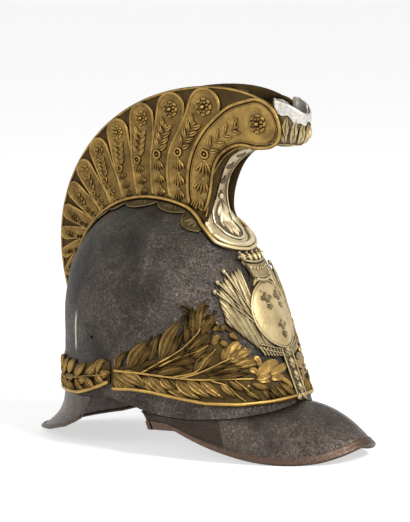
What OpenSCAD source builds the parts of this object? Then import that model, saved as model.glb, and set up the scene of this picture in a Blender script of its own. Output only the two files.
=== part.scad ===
// Cavalry helmet: a steel skull with a visor and a neck guard, brass bands, a brass front plate
// and a tall hollow brass crest that ends in a cup over the brow.
// The front faces -Y, the wearer's right is -X and the helmet stands on the plane Z = 0.
// A reach is counted forwards from the middle of the skull, so it is minus Y.

/* [Skull] */
// Half of the outside width of the skull
skull_half_w = 95; // [88:1:102]
// Reach of the skull behind its middle
skull_back = 122; // [114:1:130]
// Reach of the skull in front of its middle, at the brow
skull_front = 127; // [120:1:134]
// Height of the skull above the brow
skull_h = 181.5; // [172:0.5:190]
// Distance of the highest point behind the middle
crown_shift = 27; // [20:1:32]
// Lean of the forehead from upright, in degrees
forehead_lean = 22.3; // [19:0.1:25]
// Pinch of the brow towards a point
brow_pinch = 0.15; // [0:0.01:0.25]
// Height above the brow where the sides begin to round
side_wall_h = 57; // [45:1:70]
// Height above the brow where the back begins to round
back_wall_h = 77; // [60:1:90]
// Thickness of the steel
steel_t = 1.2; // [0.8:0.1:1.8]
// Diameter of the hole behind each temple
side_hole_d = 3; // [2:0.1:5]
// Height of that hole above the brow
side_hole_h = 57.5; // [50:0.5:66]

/* [Visor and neck guard] */
// Height of the brow above the ground
brow_h = 48; // [44:1:54]
// Reach of the visor
visor_reach = 198; // [185:1:210]
// Half of the width of the visor
visor_half_w = 95; // [93:0.5:98]
// Pinch of the visor towards a point
visor_pinch = 0.1; // [0:0.01:0.2]
// Height of the middle of the visor's edge above the ground
visor_mid_h = 15.5; // [8:0.5:24]
// Thickness of the visor
visor_t = 1.4; // [1:0.1:2]
// Width of the binding on the visor's edge
binding_w = 6.5; // [4:0.5:9]
// Thickness of the binding's metal
binding_t = 0.9; // [0.6:0.1:1.2]
// Reach of the neck guard behind the middle
guard_reach = 153; // [146:1:162]
// Half of the width of the neck guard
guard_half_w = 92.5; // [91:0.5:97]
// Thickness of the neck guard
guard_t = 1.4; // [1:0.1:2]
// Width of the narrow binding on the neck guard's edge
guard_fold = 3; // [2:0.1:5]

/* [Bands and front plate] */
// Thickness of the stamped brass
brass_t = 1.1; // [0.8:0.1:1.6]
// Height of the relief on the bands
band_relief = 2.6; // [1:0.1:4]
// Depth of the folded lower edge of the bands
band_fold = 4.2; // [2.5:0.1:5.5]
// Number of leaf ribs on each side band
band_ribs = 9; // [5:1:12]
// Height of the peak of the side bands above the brow
band_peak_h = 97; // [85:1:105]
// Height of the top of the rear band above the brow, at the back
rear_band_h = 31; // [25:1:38]
// Space between the top of the front plate and the fan of the crest
plate_space = 3.2; // [2:0.2:12]
// Half of the height of the crown
crown_half_h = 10.5; // [8:0.5:12]
// Half of the height of the shield
shield_half_h = 32; // [26:1:34]
// Half of the width of the shield
shield_half_w = 25; // [18:0.5:28]
// Height of the domed shield over the plate
shield_dome = 3.4; // [2:0.1:5]

/* [Crest] */
// Height of the crest above the skull
crest_h = 107; // [96:1:115]
// Reach of the crest behind the middle
crest_back = 141; // [134:1:150]
// Reach of the crest's head in front of the middle
crest_front = 113; // [106:1:120]
// Reach of the highest point of the crest
crest_peak = 45; // [30:1:55]
// Height above the brow where the crest reaches furthest back
crest_back_h = 137; // [125:1:145]
// Radius of the crest's edge below that height
crest_heel_r = 150; // [130:5:200]
// Half of the width of the crest at its head
crest_half_w = 20; // [17:0.5:24]
// Half of the width of the crest at its heel
heel_half_w = 3.5; // [3:0.1:6]
// Drop of the head from the highest point to its nose
head_drop = 30.5; // [24:0.5:36]
// Radius of the head under its nose
head_r = 22; // [18:0.5:24]
// Radius of the throat under the head
throat_r = 50; // [44:1:54]
// Reach of the neck at its narrowest
neck_reach = 36; // [30:1:40]
// Narrowing of the crest at the neck, on each side
neck_waist = 6; // [3:0.5:8]
// Number of gadroons behind the front one, on each side
gadroons = 12; // [6:1:14]
// Height of the gadroons over the plate
gadroon_h = 2.2; // [1:0.1:3]
// Depth of the mane channel below the crest's edge
channel_depth = 12; // [8:0.5:18]
// Half of the width of the fan at the foot of the mask
fan_half_w = 31; // [26:0.5:34]
// Radius of the bead round the foot of the crest
bead_r = 1.8; // [1.2:0.1:2.4]
// Reach of the cup in front of the crest's head
cup_reach = 19; // [14:0.5:24]
// Height of the cup's front rim above its floor
cup_h = 31; // [24:0.5:36]

/* [Fastenings] */
// Diameter of the crest's screwed studs
stud_d = 4; // [3:0.1:5]
// Length of the crest's studs inside the skull
stud_len = 9; // [7:0.5:12]
// Width of the crest nuts across their flats
nut_w = 9; // [8:0.5:12]
// Thickness of the crest nuts
nut_t = 3; // [2:0.2:4]
// Diameter of the rivets
rivet_d = 3; // [2:0.1:3.6]

/* [Lining] */
// Height of the leather sweatband
sweatband_h = 34; // [28:1:40]
// Thickness of the leather
leather_t = 1.6; // [1:0.1:2.4]
// Number of tongues of the leather liner
tongues = 8; // [6:1:10]

/* [Fits] */
// Clearance between pieces that lie on each other
gap = 0.3; // [0.2:0.05:0.5]

/* [Hidden] */

steel = [0.42, 0.38, 0.36];
gilt = [0.72, 0.56, 0.26];
silver = [0.72, 0.71, 0.69];
tan_leather = [0.35, 0.22, 0.13];

top_h = brow_h + skull_h;
side_z = brow_h + side_wall_h;
back_z = brow_h + back_wall_h;
// Depth of the sweatband's outside below the skull's outside
lining_in = steel_t + 2.6;
// The hub is the point that the crest's angles are counted about: 0 is forwards, 90 is up
hub = [-crown_shift, back_z];

function clip(v, lo = 0, hi = 1) = max(lo, min(hi, v));
function mix(a, b, k) = a + (b - a)*k;
// The origin is under the middle of the whole length, from the visor's edge to the neck guard's
middle_reach = (visor_reach - guard_reach)/2;
function at(x, reach, z) = [x, middle_reach - reach, z];
function reach_of(p) = middle_reach - p.y;
function unit(v) = v/norm(v);
// A gentle S from 0 to 1
function ease(k) = let(c = clip(k)) c*c*(3 - 2*c);

// Skull surface, d outside its steel
function dome_rise(z, d) = clip((z - brow_h)/(skull_h + d));
function dome_w(z, d) = (skull_half_w + d)*sqrt(1 - pow(clip((z - side_z)/(top_h + d - side_z)), 2));
function dome_rear(z, d) =
    crown_shift + (skull_back + d - crown_shift)*sqrt(1 - pow(clip((z - back_z)/(top_h + d - back_z)), 2.2));
function dome_fore(z, d) =
    -crown_shift + (skull_front + d + crown_shift - tan(forehead_lean)*(z - brow_h))*sqrt(1 - pow(dome_rise(z, d), 8));
function dome_mid(z, d) = -crown_shift*pow(dome_rise(z, d), 2);
// Point of the skull at height z; t turns from the wearer's left over the front (90) to the right
function wall(t, z, d = 0) =
    let(s = sin(t), c = cos(t), m = dome_mid(z, d),
        power = s > 0 ? 1 + brow_pinch*(1 - dome_rise(z, d)) : 1,
        x = dome_w(z, d)*sign(c)*pow(abs(c), power),
        reach = m + (s > 0 ? dome_fore(z, d) - m : dome_rear(z, d) + m)*s)
    at(x, reach, z);
function wall_normal(t, z) = unit(cross(wall(t, z + 1) - wall(t, z - 1), wall(t + 1, z) - wall(t - 1, z)));
function in_dome(x, reach, z, d) =
    z >= top_h + d ? false :
    let(m = dome_mid(z, d), front = reach > m,
        r = front ? dome_fore(z, d) - m : dome_rear(z, d) + m,
        power = front ? 1 + brow_pinch*(1 - dome_rise(z, d)) : 1)
    pow(abs(x)/dome_w(z, d), 2/power) + pow(abs(reach - m)/r, 2) < 1;
// Distance from the hub to the skull at side offset x, along the angle a
function ray(x, a, d, lo = 20, hi = 200, n = 13) =
    n == 0 ? (lo + hi)/2 :
    let(k = (lo + hi)/2)
    in_dome(x, hub[0] + k*cos(a), hub[1] + k*sin(a), d) ? ray(x, a, d, k, hi, n - 1)
                                                        : ray(x, a, d, lo, k, n - 1);
function over(x, a, d = 0) = let(k = ray(x, a, d)) at(x, hub[0] + k*cos(a), hub[1] + k*sin(a));

// Closed solid between two grids of points, rows by columns
module slab(outer, inner, loop = false, cap = false) {
    rows = len(outer);
    cols = len(outer[0]);
    last = loop ? cols : cols - 1;
    count = rows*cols;
    apex = 2*count;
    function id(side, r, c) = side*count + r*cols + (c % cols);
    skins = [for (r = [0:rows - 2], c = [0:last - 1]) each [
        [id(0, r, c), id(0, r, c + 1), id(0, r + 1, c + 1)],
        [id(0, r, c), id(0, r + 1, c + 1), id(0, r + 1, c)],
        [id(1, r, c), id(1, r + 1, c + 1), id(1, r, c + 1)],
        [id(1, r, c), id(1, r + 1, c), id(1, r + 1, c + 1)]]];
    foot = [for (c = [0:last - 1]) each [
        [id(0, 0, c + 1), id(0, 0, c), id(1, 0, c)],
        [id(0, 0, c + 1), id(1, 0, c), id(1, 0, c + 1)]]];
    head = cap ? [for (c = [0:last - 1]) each [
        [id(0, rows - 1, c), id(0, rows - 1, c + 1), apex],
        [id(1, rows - 1, c + 1), id(1, rows - 1, c), apex + 1]]] :
        [for (c = [0:last - 1]) each [
        [id(0, rows - 1, c), id(0, rows - 1, c + 1), id(1, rows - 1, c + 1)],
        [id(0, rows - 1, c), id(1, rows - 1, c + 1), id(1, rows - 1, c)]]];
    ends = loop ? [] : [for (r = [0:rows - 2]) each [
        [id(0, r, 0), id(0, r + 1, 0), id(1, r + 1, 0)],
        [id(0, r, 0), id(1, r + 1, 0), id(1, r, 0)],
        [id(0, r + 1, last), id(0, r, last), id(1, r, last)],
        [id(0, r + 1, last), id(1, r, last), id(1, r + 1, last)]]];
    flat = concat([for (row = outer) each row], [for (row = inner) each row]);
    tips = cap ? [mean(outer[rows - 1]), mean(inner[rows - 1])] : [];
    polyhedron(concat(flat, tips), concat(skins, foot, head, ends));
}
function mean(points) = [for (k = [1:len(points)]) 1]*points/len(points);

// The grid t further in, along its own normals
function inset(grid, t, loop = false) =
    let(rows = len(grid), cols = len(grid[0]))
    [for (r = [0:rows - 1]) [for (c = [0:cols - 1])
        let(up = grid[min(r + 1, rows - 1)][c] - grid[max(r - 1, 0)][c],
            next = loop ? grid[r][(c + 1) % cols] : grid[r][min(c + 1, cols - 1)],
            back = loop ? grid[r][(c + cols - 1) % cols] : grid[r][max(c - 1, 0)])
        grid[r][c] - t*unit(cross(up, next - back))]];
module sheet(grid, t, loop = false) slab(grid, inset(grid, t, loop), loop);

// Round wire of radius r through the points, with its ring turned by the side direction
module wire(points, r, side, sides = 8, closed = false) {
    n = len(points);
    rings = [for (k = [0:n - 1])
        let(a = points[closed ? (k + n - 1) % n : max(k - 1, 0)],
            b = points[closed ? (k + 1) % n : min(k + 1, n - 1)],
            along = unit(b - a), across = unit(cross(along, side[k])), up = cross(across, along))
        [for (j = [0:sides - 1]) points[k] + r*(cos(360*j/sides)*up + sin(360*j/sides)*across)]];
    spans = closed ? n : n - 1;
    walls = [for (k = [0:spans - 1], j = [0:sides - 1])
        let(p = k*sides + j, q = k*sides + (j + 1) % sides, u = ((k + 1) % n)*sides)
        each [[p, u + (j + 1) % sides, q], [p, u + j, u + (j + 1) % sides]]];
    ends = closed ? [] : [[for (j = [0:sides - 1]) j], [for (j = [sides - 1:-1:0]) (n - 1)*sides + j]];
    polyhedron([for (ring = rings) each ring], concat(walls, ends));
}

// Stands its children on the skull wall, their Z axis outwards
module on_wall(t, z, d = 0) {
    n = wall_normal(t, z);
    translate(wall(t, z, d)) rotate([0, acos(n.z), atan2(n.y, n.x)]) children();
}

// Lower border of the skull, above the ground
border_line = [[-90, -2], [-30, 1], [-12, 4.5], [0, 0], [10, -7], [25, -10.5], [45, -9], [65, -4.5], [90, 3]];
// Turn from the wearer's side towards the front, the same on both sides
function turn(t) = asin(clip(sin(t), -1, 1));
function border_z(t) = brow_h + lookup(turn(t), border_line);

// Skull
skull_cols = 40;
skull_rows = 13;
function skull_grid(d) = [for (r = [0:skull_rows - 1])
    [for (c = [0:skull_cols - 1])
        let(t = 360*c/skull_cols, z = mix(border_z(t), top_h + d, sin(87*r/(skull_rows - 1)))) wall(t, z, d)]];
side_hole_turn = -21.8;
side_hole_z = brow_h + side_hole_h;
stud_angles = [58, 96, 138];
hole_fit = 0.15;
module side_holes() for (t = [side_hole_turn, 180 - side_hole_turn])
    on_wall(t, side_hole_z) cylinder(h = 12, d = side_hole_d, center = true, $fn = 24);
module skull() color(steel) difference() {
    slab(skull_grid(0), skull_grid(-steel_t), loop = true, cap = true);
    side_holes();
    stud_places() cylinder(h = 12, d = stud_d + 2*hole_fit, center = true, $fn = 24);
    visor_rivet_places() cylinder(h = 8, d = rivet_d + 2*hole_fit, center = true, $fn = 20);
    guard_rivet_places() cylinder(h = 8, d = rivet_d + 2*hole_fit, center = true, $fn = 20);
    band_stud_places() cylinder(h = 8, d = rivet_d + 2*hole_fit, center = true, $fn = 20);
}

// Visor: a flange inside the skull's border, a short step under it and the sloping peak
visor_from = 6;
visor_cols = 37;
flange_h = 9;
under_edge = 2*gap;
visor_low_t = 47;
function visor_edge_z(t) =
    let(k = turn(t)) k > visor_low_t ? visor_mid_h*pow(sin(90*(k - visor_low_t)/(90 - visor_low_t)), 2.3)
                                     : min(26.5, 0.0235*pow(visor_low_t - k, 2));
function visor_edge(t) =
    at(visor_half_w*sign(cos(t))*pow(abs(cos(t)), 1 + visor_pinch), visor_reach*sin(t), visor_edge_z(t) + rim_r);
rim_r = binding_t + visor_t/2 + 1.2*gap;
function visor_flange(t, h) = wall(t, border_z(t) + h, -steel_t - 2*gap);
function visor_skin(t, k) =
    let(root = wall(t, border_z(t), 0.6) - [0, 0, under_edge], tip = visor_edge(t),
        p = mix(root, tip, k), drop = root.z - tip.z)
    [p.x, p.y, root.z - drop*pow(k, 1.5 + 0.7*pow(sin(t), 4))];
visor_turns = [for (c = [0:visor_cols - 1]) mix(visor_from, 180 - visor_from, c/(visor_cols - 1))];
function visor_grid() =
    concat([for (k = [1:-0.2:0.19]) [for (t = visor_turns) visor_skin(t, k)]],
           [[for (t = visor_turns) visor_skin(t, 0)]],
           [for (h = [-under_edge + 0.15, flange_h]) [for (t = visor_turns) visor_flange(t, h)]]);
visor_rivet_turns = [50, 90, 130];
module visor_rivet_places() for (t = visor_rivet_turns)
    on_wall(t, border_z(t) + flange_h/2 + 1.2) children();
module visor() color(steel) difference() {
    sheet(visor_grid(), visor_t);
    visor_rivet_places() cylinder(h = 10, d = rivet_d + 2*hole_fit, center = true, $fn = 20);
}
// Binding: a folded strip over a sheet's edge, open towards the skull
// tips and backs are lists of points on the sheet's outside, at its edge and just behind it
module binding(tips, backs, t, w) {
    n = len(tips);
    o = t/2 + 1.2*gap + binding_t;
    i = t/2 + 1.2*gap;
    rings = [for (k = [0:n - 1])
        let(inward = unit(backs[k] - tips[k]), along = unit(tips[min(k + 1, n - 1)] - tips[max(k - 1, 0)]),
            up = unit(cross(inward, along)), middle = tips[k] - up*t/2)
        [middle + up*o + inward*w, middle + up*o, middle + up*0.6*o - inward*0.8*o, middle - inward*o,
         middle - up*0.6*o - inward*0.8*o, middle - up*o, middle - up*o + inward*w,
         middle - up*i + inward*w, middle - up*i - inward*1.5*gap, middle + up*i - inward*1.5*gap,
         middle + up*i + inward*w]];
    sides = len(rings[0]);
    walls = [for (k = [0:n - 2], j = [0:sides - 1])
        let(p = k*sides + j, q = k*sides + (j + 1) % sides) each [[p, q, p + sides], [q, q + sides, p + sides]]];
    polyhedron([for (ring = rings) each ring],
               concat(walls, [[for (j = [sides - 1:-1:0]) j], [for (j = [0:sides - 1]) (n - 1)*sides + j]]));
}
module visor_binding() color([0.45, 0.36, 0.28])
    binding([for (t = visor_turns) visor_edge(t)], [for (t = visor_turns) visor_skin(t, 0.8)], visor_t + 0.2, binding_w);
// A rivet that is flush outside and has its closed head inside; its own origin is on the skull's outside
module rivet(inner) {
    translate([0, 0, -inner]) cylinder(h = inner + 0.1, d = rivet_d, $fn = 20);
    translate([0, 0, -inner - 0.9]) cylinder(h = 0.9, d1 = 1.3*rivet_d, d2 = 1.8*rivet_d, $fn = 20);
}
module visor_rivets() color(steel) visor_rivet_places() rivet(steel_t + visor_t + 3.5*gap);

// Neck guard: a flange inside the skull and a skirt that flares backwards
guard_from = 19.5;
guard_cols = 29;
guard_line = [[19.5, 42], [21, 34], [24, 27], [28, 22], [35, 15.5], [49, 8.5], [69, 4], [90, 1.2]];
function guard_edge(k) = at(-guard_half_w*cos(k), -guard_reach*sin(k),
    lookup(k > 90 ? 180 - k : k, guard_line)*brow_h/48 + rim_r);
// Turn on the skull that a turn k of the guard starts from
function guard_root(k) = 180 + mix(guard_from + 4, 180 - guard_from - 4, (k - guard_from)/(180 - 2*guard_from));
function guard_skin(k, v) =
    let(t = guard_root(k), root = wall(t, border_z(t), 0.6) - [0, 0, under_edge], tip = guard_edge(k), out = pow(v, 2.4))
    [mix(root.x, tip.x, out), mix(root.y, tip.y, out), mix(root.z, tip.z, v)];
guard_turns = [for (c = [0:guard_cols - 1]) mix(guard_from, 180 - guard_from, c/(guard_cols - 1))];
function guard_grid() =
    concat([for (v = [1:-0.2:0.19]) [for (k = guard_turns) guard_skin(k, v)]],
           [[for (k = guard_turns) guard_skin(k, 0)]],
           [for (h = [-under_edge + 0.15, flange_h]) [for (k = guard_turns)
               let(t = guard_root(k)) wall(t, border_z(t) + h, -steel_t - 2*gap)]]);
guard_rivet_turns = [228, 270, 312];
module guard_rivet_places() for (t = guard_rivet_turns)
    on_wall(t, border_z(t) + flange_h/2 + 1.2) children();
module neck_guard() color(steel) difference() {
    sheet(guard_grid(), guard_t);
    guard_rivet_places() cylinder(h = 10, d = rivet_d + 2*hole_fit, center = true, $fn = 20);
}
module guard_binding() color([0.5, 0.44, 0.36])
    let(ks = [for (c = [1:guard_cols - 2]) guard_turns[c]])
    binding([for (k = ks) guard_edge(k)], [for (k = ks) guard_skin(k, 0.8)], guard_t + 0.2, guard_fold);
module neck_guard_rivets() color(steel) guard_rivet_places() rivet(steel_t + guard_t + 3.5*gap);

// Bands: a stamped strip with leaf ribs and a folded lower edge, laid on the skull
// Each line pairs a turn from the wearer's side with a height above the brow
side_top_line = [[-9, 42], [2, 49], [14, 60], [21, 68], [31, 82], [40, 91], [46.6, 97], [49, 85], [52, 70],
                 [60, 55], [65, 43], [72, 39], [83, 38], [90, 41]];
side_low_line = [[-9, 11], [2, 12.5], [11, 11.5], [19, 8.5], [28, 5], [34, 2.5], [49, 1], [64, 2], [81, 4], [90, 4]];
rear_top_line = [[-90, 0], [-40, 1.5], [-30, 4], [-22, 8], [-10.5, 10]];
rear_low_line = [[-90, -2], [-44, 0], [-32, 1.5], [-24, 6], [-17, 11], [-10.5, 17]];
function side_top(t) = let(h = lookup(turn(t), side_top_line)) brow_h + (h > 43 ? mix(43, h, (band_peak_h - 43)/54) : h);
function side_low(t) = brow_h + lookup(turn(t), side_low_line);
function rear_top(t) = brow_h + rear_band_h + lookup(turn(t), rear_top_line);
function rear_low(t) = brow_h + lookup(turn(t), rear_low_line);
// Share of the height at each row, and how far the row stands out
fold_h = 5;
function band_depth(t, low, high, k, ribs, phase) =
    let(z = band_row(low, high, k), rib = at_stud(t, z) ? 0 : abs(sin(180*(ribs*(t/100) + 0.35*k + phase))))
    k == 0 ? band_fold*0.6 : k == 1 ? band_fold : k == 2 ? band_fold*0.55 :
    k == band_rows ? brass_t : brass_t + band_relief*rib;
// The relief leaves a flat place where a stud is soldered to the back
function at_stud(t, z) = len([for (p = stud_turns) if (abs(t - p[0]) < 5 && abs(z - brow_h - p[1]) < 11) p]) > 0;
band_rows = 7;
function band_row(low, high, k) =
    low + (k < 3 ? [0, 0.5, 1][k]*fold_h : mix(fold_h, high - low, (k - 2)/(band_rows - 2)));
module band(turns, rear, phase) {
    low = [for (t = turns) rear ? rear_low(t) : side_low(t)];
    high = [for (t = turns) rear ? rear_top(t) : side_top(t)];
    n = len(turns) - 1;
    ribs = rear ? 8 : band_ribs;
    function skin(t) = [for (k = [0:band_rows]) [for (c = [0:n])
        wall(turns[c], band_row(low[c], high[c], k), gap - t + band_depth(turns[c], low[c], high[c], k, ribs, phase))]];
    slab(skin(0), skin(brass_t));
}
band_seam = 9;
seam_gap = 0.25;
side_turns = [for (c = [0:33]) mix(90 + seam_gap, 180 + band_seam, c/33)];
module side_band_right() color(gilt) band(side_turns, false, 0);
module side_band_left() color(gilt) mirror([1, 0, 0]) band(side_turns, false, 0);
module rear_band() color(gilt) band([for (c = [0:36]) mix(180 + band_seam + 1, 360 - band_seam - 1, c/36)], true, 0.2);
// Studs on the backs of the bands and the plate, through the skull
band_stud_len = lining_in - 1.5*gap;
stud_turns = [[112, 20], [165, 22], [68, 20], [15, 22], [215, 16], [325, 16], [90, 60], [90, 105]];
module band_stud_places() for (p = stud_turns) on_wall(p[0], brow_h + p[1]) children();
module band_studs() color(gilt) band_stud_places()
    translate([0, 0, -band_stud_len]) cylinder(h = band_stud_len + gap/3, d = rivet_d, $fn = 20);

// Fan: its lip lies on the skull under the bead, out of step e in degrees
fan_line = [[0, 32.7], [8, 33.2], [19, 35.2], [28, 39.5], [31, 44]];
function fan_lip(s, e) = let(x = (fan_half_w - 1.6*e)*s) over(x, lookup(abs(x), fan_line) + e, gap + brass_t);
fan_tuck = 1.3;
fan_low_z = fan_lip(0, -fan_tuck).z;

// Front plate: crossed flags behind a shield, seen as a flared sheet that narrows to both ends
// It hangs between the fan and the bands, with the crown and then the shield under the fan
plate_low_h = 42.5;
plate_top_h = fan_low_z - plate_space - brow_h;
crown_mid_h = fan_low_z - 2*gap - crown_half_h - brow_h;
shield_mid_h = crown_mid_h - crown_half_h - 2*gap - shield_half_h;
plate_line = [[0, 15], [0.08, 20], [0.25, 28], [0.42, 32], [0.56, 35.5], [0.68, 36.5], [0.76, 32], [0.84, 27], [0.93, 17],
              [1, 12]];
plate_fold = 0.8*band_relief;
plate_rows = 13;
plate_cols = 17;
function plate_point(r, c, d) =
    let(k = r/(plate_rows - 1), z = brow_h + mix(plate_low_h, plate_top_h, k), s = 2*c/(plate_cols - 1) - 1,
        fold = (1 - abs(cos(720*s + 90*k)))*plate_fold*(abs(s) > 0.35 ? 1 : 0))
    wall(90 + s*lookup(k, plate_line), z, d + fold);
module front_plate() color(gilt)
    slab([for (r = [0:plate_rows - 1]) [for (c = [0:plate_cols - 1]) plate_point(r, c, gap + brass_t)]],
         [for (r = [0:plate_rows - 1]) [for (c = [0:plate_cols - 1]) plate_point(r, c, gap)]]);
// Shield and crown, each a domed boss on the plate
function boss(mid_z, half_h, half_w, dome, s, q, lift, foot_w = 1) =
    let(a = 80*q, z = mid_z + half_h*sin(a), wide = half_w*cos(a)*mix(1, foot_w, (1 - q)/2),
        t = 90 + s*2*asin(clip(wide/2/skull_half_w))*1.05)
    wall(t, z, gap + brass_t + plate_fold + gap + lift + dome*sqrt(max(0, 1 - pow(s*0.98, 2)))*cos(a));
module boss_solid(mid_z, half_h, half_w, dome, foot_w = 1) {
    steps = [for (k = [0:10]) k/5 - 1];
    slab([for (q = steps) [for (s = steps) boss(mid_z, half_h, half_w, dome, s, q, 0.8, foot_w)]],
         [for (q = steps) [for (s = steps) boss(mid_z, half_h, half_w, dome - 0.3, s, q, 0, foot_w)]]);
}
crown_half_w = 17;
crown_dome = 3;
module front_shield() color([0.82, 0.72, 0.48])
    boss_solid(brow_h + shield_mid_h, shield_half_h, shield_half_w, shield_dome);
module front_crown() color([0.82, 0.72, 0.48])
    boss_solid(brow_h + crown_mid_h, crown_half_h, crown_half_w, crown_dome);

// Crest outline in the middle plane, as reach and height
peak_z = top_h + crest_h;
head_z = peak_z - head_drop;
heel_z = brow_h + crest_back_h;
throat_mid = [neck_reach + throat_r, head_z - head_r - throat_r - 2];
comb_from = 184;
comb_to = 52;
// Turn along the crest's edge that faces the angle a of its foot
edge_line = [[52, 77], [66, 94], [140, 170], [155, 183], [186, 206.5]];
function edge_turn(a) = lookup(a, edge_line);
function crest_edge(e) =
    e > 180 ? [-crest_back + crest_heel_r*(1 - cos(e - 180)), heel_z - crest_heel_r*sin(e - 180)] :
    e > 90 ? [crest_peak + (crest_back + crest_peak)*cos(e), heel_z + (peak_z - heel_z)*sin(e)] :
    e > 0 ? [crest_peak + (crest_front - crest_peak)*cos(e), head_z + head_drop*sin(e)] :
    [crest_front - head_r + head_r*cos(e), head_z + head_r*sin(e)];
// Half of the width at the foot of the crest, by the angle about the hub
foot_line = [[45, 29], [52, 27], [58, 22.6], [66, 18], [80, 17.2], [100, 16], [125, 12.6], [150, 7], [170, 4], [186, 3]];
function crest_half(reach) =
    heel_half_w + (crest_half_w - heel_half_w)*pow(sin(90*clip((reach + crest_back)/(crest_back + 60))), 0.9);
function crest_x(p) =
    let(v = p - hub, a = (atan2(v[1], v[0]) + 360) % 360, over_dome = norm(v) - ray(0, a, 0),
        foot = exp(-max(0, over_dome)/9), w = crest_half(p[0]), q = p - throat_mid,
        near_throat = exp(-pow((norm(q) - throat_r)/16, 2)), turn_q = atan2(q[1], q[0]),
        facing = max(0, cos(clip(abs((turn_q < 0 ? turn_q + 360 : turn_q) - 168), 0, 60)*1.5)))
    mix(w, lookup(a, foot_line), foot) - neck_waist*near_throat*facing*(1 - foot);
foot_lift = brass_t + 2*gap + 0.1;
// The plate's foot leans where the crest flares out towards the mask, so it stands higher there
function foot_point(a) =
    let(x = lookup(a, foot_line), p = over(x, a, foot_lift + 0.15 + 0.9*ease((80 - a)/25))) [reach_of(p), p.z];
neck_foot = foot_point(comb_to);
// Lower edge of the side plate: along the skull, up the neck and under the head
function throat_edge(k) =
    k < 0.2 ? mix(neck_foot, throat_mid - [throat_r, 0], k/0.2) :
    k < 0.85 ? throat_mid + throat_r*[cos(180 - 90*(k - 0.2)/0.65), sin(180 - 90*(k - 0.2)/0.65)] :
    mix(throat_mid + [0, throat_r], [crest_front - head_r + 2, head_z - head_r], (k - 0.85)/0.15);
comb_cols = 5*gadroons;
head_cols = 14;
function gadroon_border(i) = 66.5 + 11.6*(i*12/gadroons) - 0.32*pow(i*12/gadroons, 2);
// Share of the way across its gadroon, for an angle a of the foot
function gadroon_share(a, i = 0) =
    a < gadroon_border(0) ? 0.5 : i >= gadroons ? 0.5 :
    a < gadroon_border(i + 1) ? (a - gadroon_border(i))/(gadroon_border(i + 1) - gadroon_border(i)) :
    gadroon_share(a, i + 1);
plate_steps = [0, 0.05, 0.15, 0.4, 0.7, 0.9, 0.96, 1];
// Relief of the plate, v of the way from its foot to its edge over a length
function relief(v, length, share) =
    gadroon_h*(v > 0.96 ? 0.55 : 0)
    + gadroon_h*pow(max(0, sin(180*share)), 0.6)*ease((0.96 - v)/0.1)*ease((v*length - 2*bead_r - 1)/7);
function side_point(low, high, v, share) =
    let(p = mix(low, high, v)) at(crest_x(p) + relief(v, norm(high - low), share), p[0], p[1]);
function side_grid() = [for (v = plate_steps) concat(
    [for (c = [0:comb_cols]) let(a = mix(comb_from, comb_to, c/comb_cols))
        side_point(foot_point(a), crest_edge(edge_turn(a)), v, gadroon_share(a))],
    [for (c = [1:head_cols]) let(k = c/head_cols)
        side_point(throat_edge(k), crest_edge(mix(edge_turn(comb_to), -62, k)), v, mix(0.5, clip(v*1.1), ease(3*k)))])];
module crest_side_left() color(gilt) sheet(side_grid(), brass_t);
module crest_side_right() mirror([1, 0, 0]) crest_side_left();

// Mask: a fan on the brow of the skull, a strip up the neck and the roof of the throat
mask_cols = 13;
function neck_strip(s, k) =
    let(p = throat_mid + throat_r*[cos(180 - k), sin(180 - k)], x = crest_x(p) - brass_t - gap)
    at(x*s, p[0] + 2.2*cos(k)*(1 - s*s), p[1] - 2.2*sin(k)*(1 - s*s));
function fan_point(s, v) =
    let(low = fan_lip(s, 1.8), high = neck_strip(s, 0),
        knee = at(16*s, mix(neck_reach + 4.5, neck_reach + 1, s*s), mix(low.z + 13, low.z + 8, s*s)))
    clear_of_skull((1 - v)*(1 - v)*low + 2*v*(1 - v)*knee + v*v*high, gap + brass_t);
// The point itself, or the skull's surface where the point is below it
function clear_of_skull(p, d) =
    let(v = [reach_of(p), p.z] - hub, a = atan2(v[1], v[0])) norm(v) < ray(p.x, a, d) ? over(p.x, a, d) : p;
function mask_grid() = let(ss = [for (c = [0:mask_cols - 1]) 1 - 2*c/(mask_cols - 1)])
    concat([[for (s = ss) fan_lip(s, -fan_tuck)]],
           [for (v = [0:0.2:0.81]) [for (s = ss) fan_point(s, v)]],
           [for (k = [0:15:90]) [for (s = ss) neck_strip(s, k)]],
           [for (k = [0.5, 1]) [for (s = ss)
               let(p = mix(throat_mid + [0, throat_r], [crest_front - 8, head_z - head_r + 2.5], k))
               at((crest_x(p) - brass_t - gap)*s, p[0], p[1])]]);
module crest_mask() color([0.84, 0.74, 0.5]) sheet(mask_grid(), brass_t);

// Cup: a rounded front to the crest's head, open at the top
cup_mid = crest_front - 7;
cup_floor_z = head_z - head_r - 1;
cup_line = [[0, 0.3], [0.04, 0.62], [0.14, 0.82], [0.3, 0.94], [0.6, 0.98], [1, 1]];
cup_cols = 19;
function cup_top(t, extra = 0) = cup_floor_z + cup_h + 13*pow(abs(cos(t)), 2) + extra;
function cup_point(t, k, inset, extra = 0) =
    let(size = lookup(k, cup_line), z = mix(cup_floor_z + inset, cup_top(t, extra), k))
    at((crest_half_w - brass_t - gap - inset)*size*cos(t), cup_mid + (cup_reach + 7 - inset)*size*sin(t), z);
cup_steps = [0, 0.04, 0.14, 0.3, 0.6, 1];
module crest_cup() color([0.84, 0.74, 0.5])
    sheet([for (k = cup_steps) [for (c = [0:cup_cols - 1]) cup_point(180*c/(cup_cols - 1), k, 0)]], brass_t);
module cup_lining() color(silver)
    sheet([for (k = cup_steps) [for (c = [0:cup_cols - 1]) cup_point(180*c/(cup_cols - 1), k, brass_t + gap, 2)]], 0.8);

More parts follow.
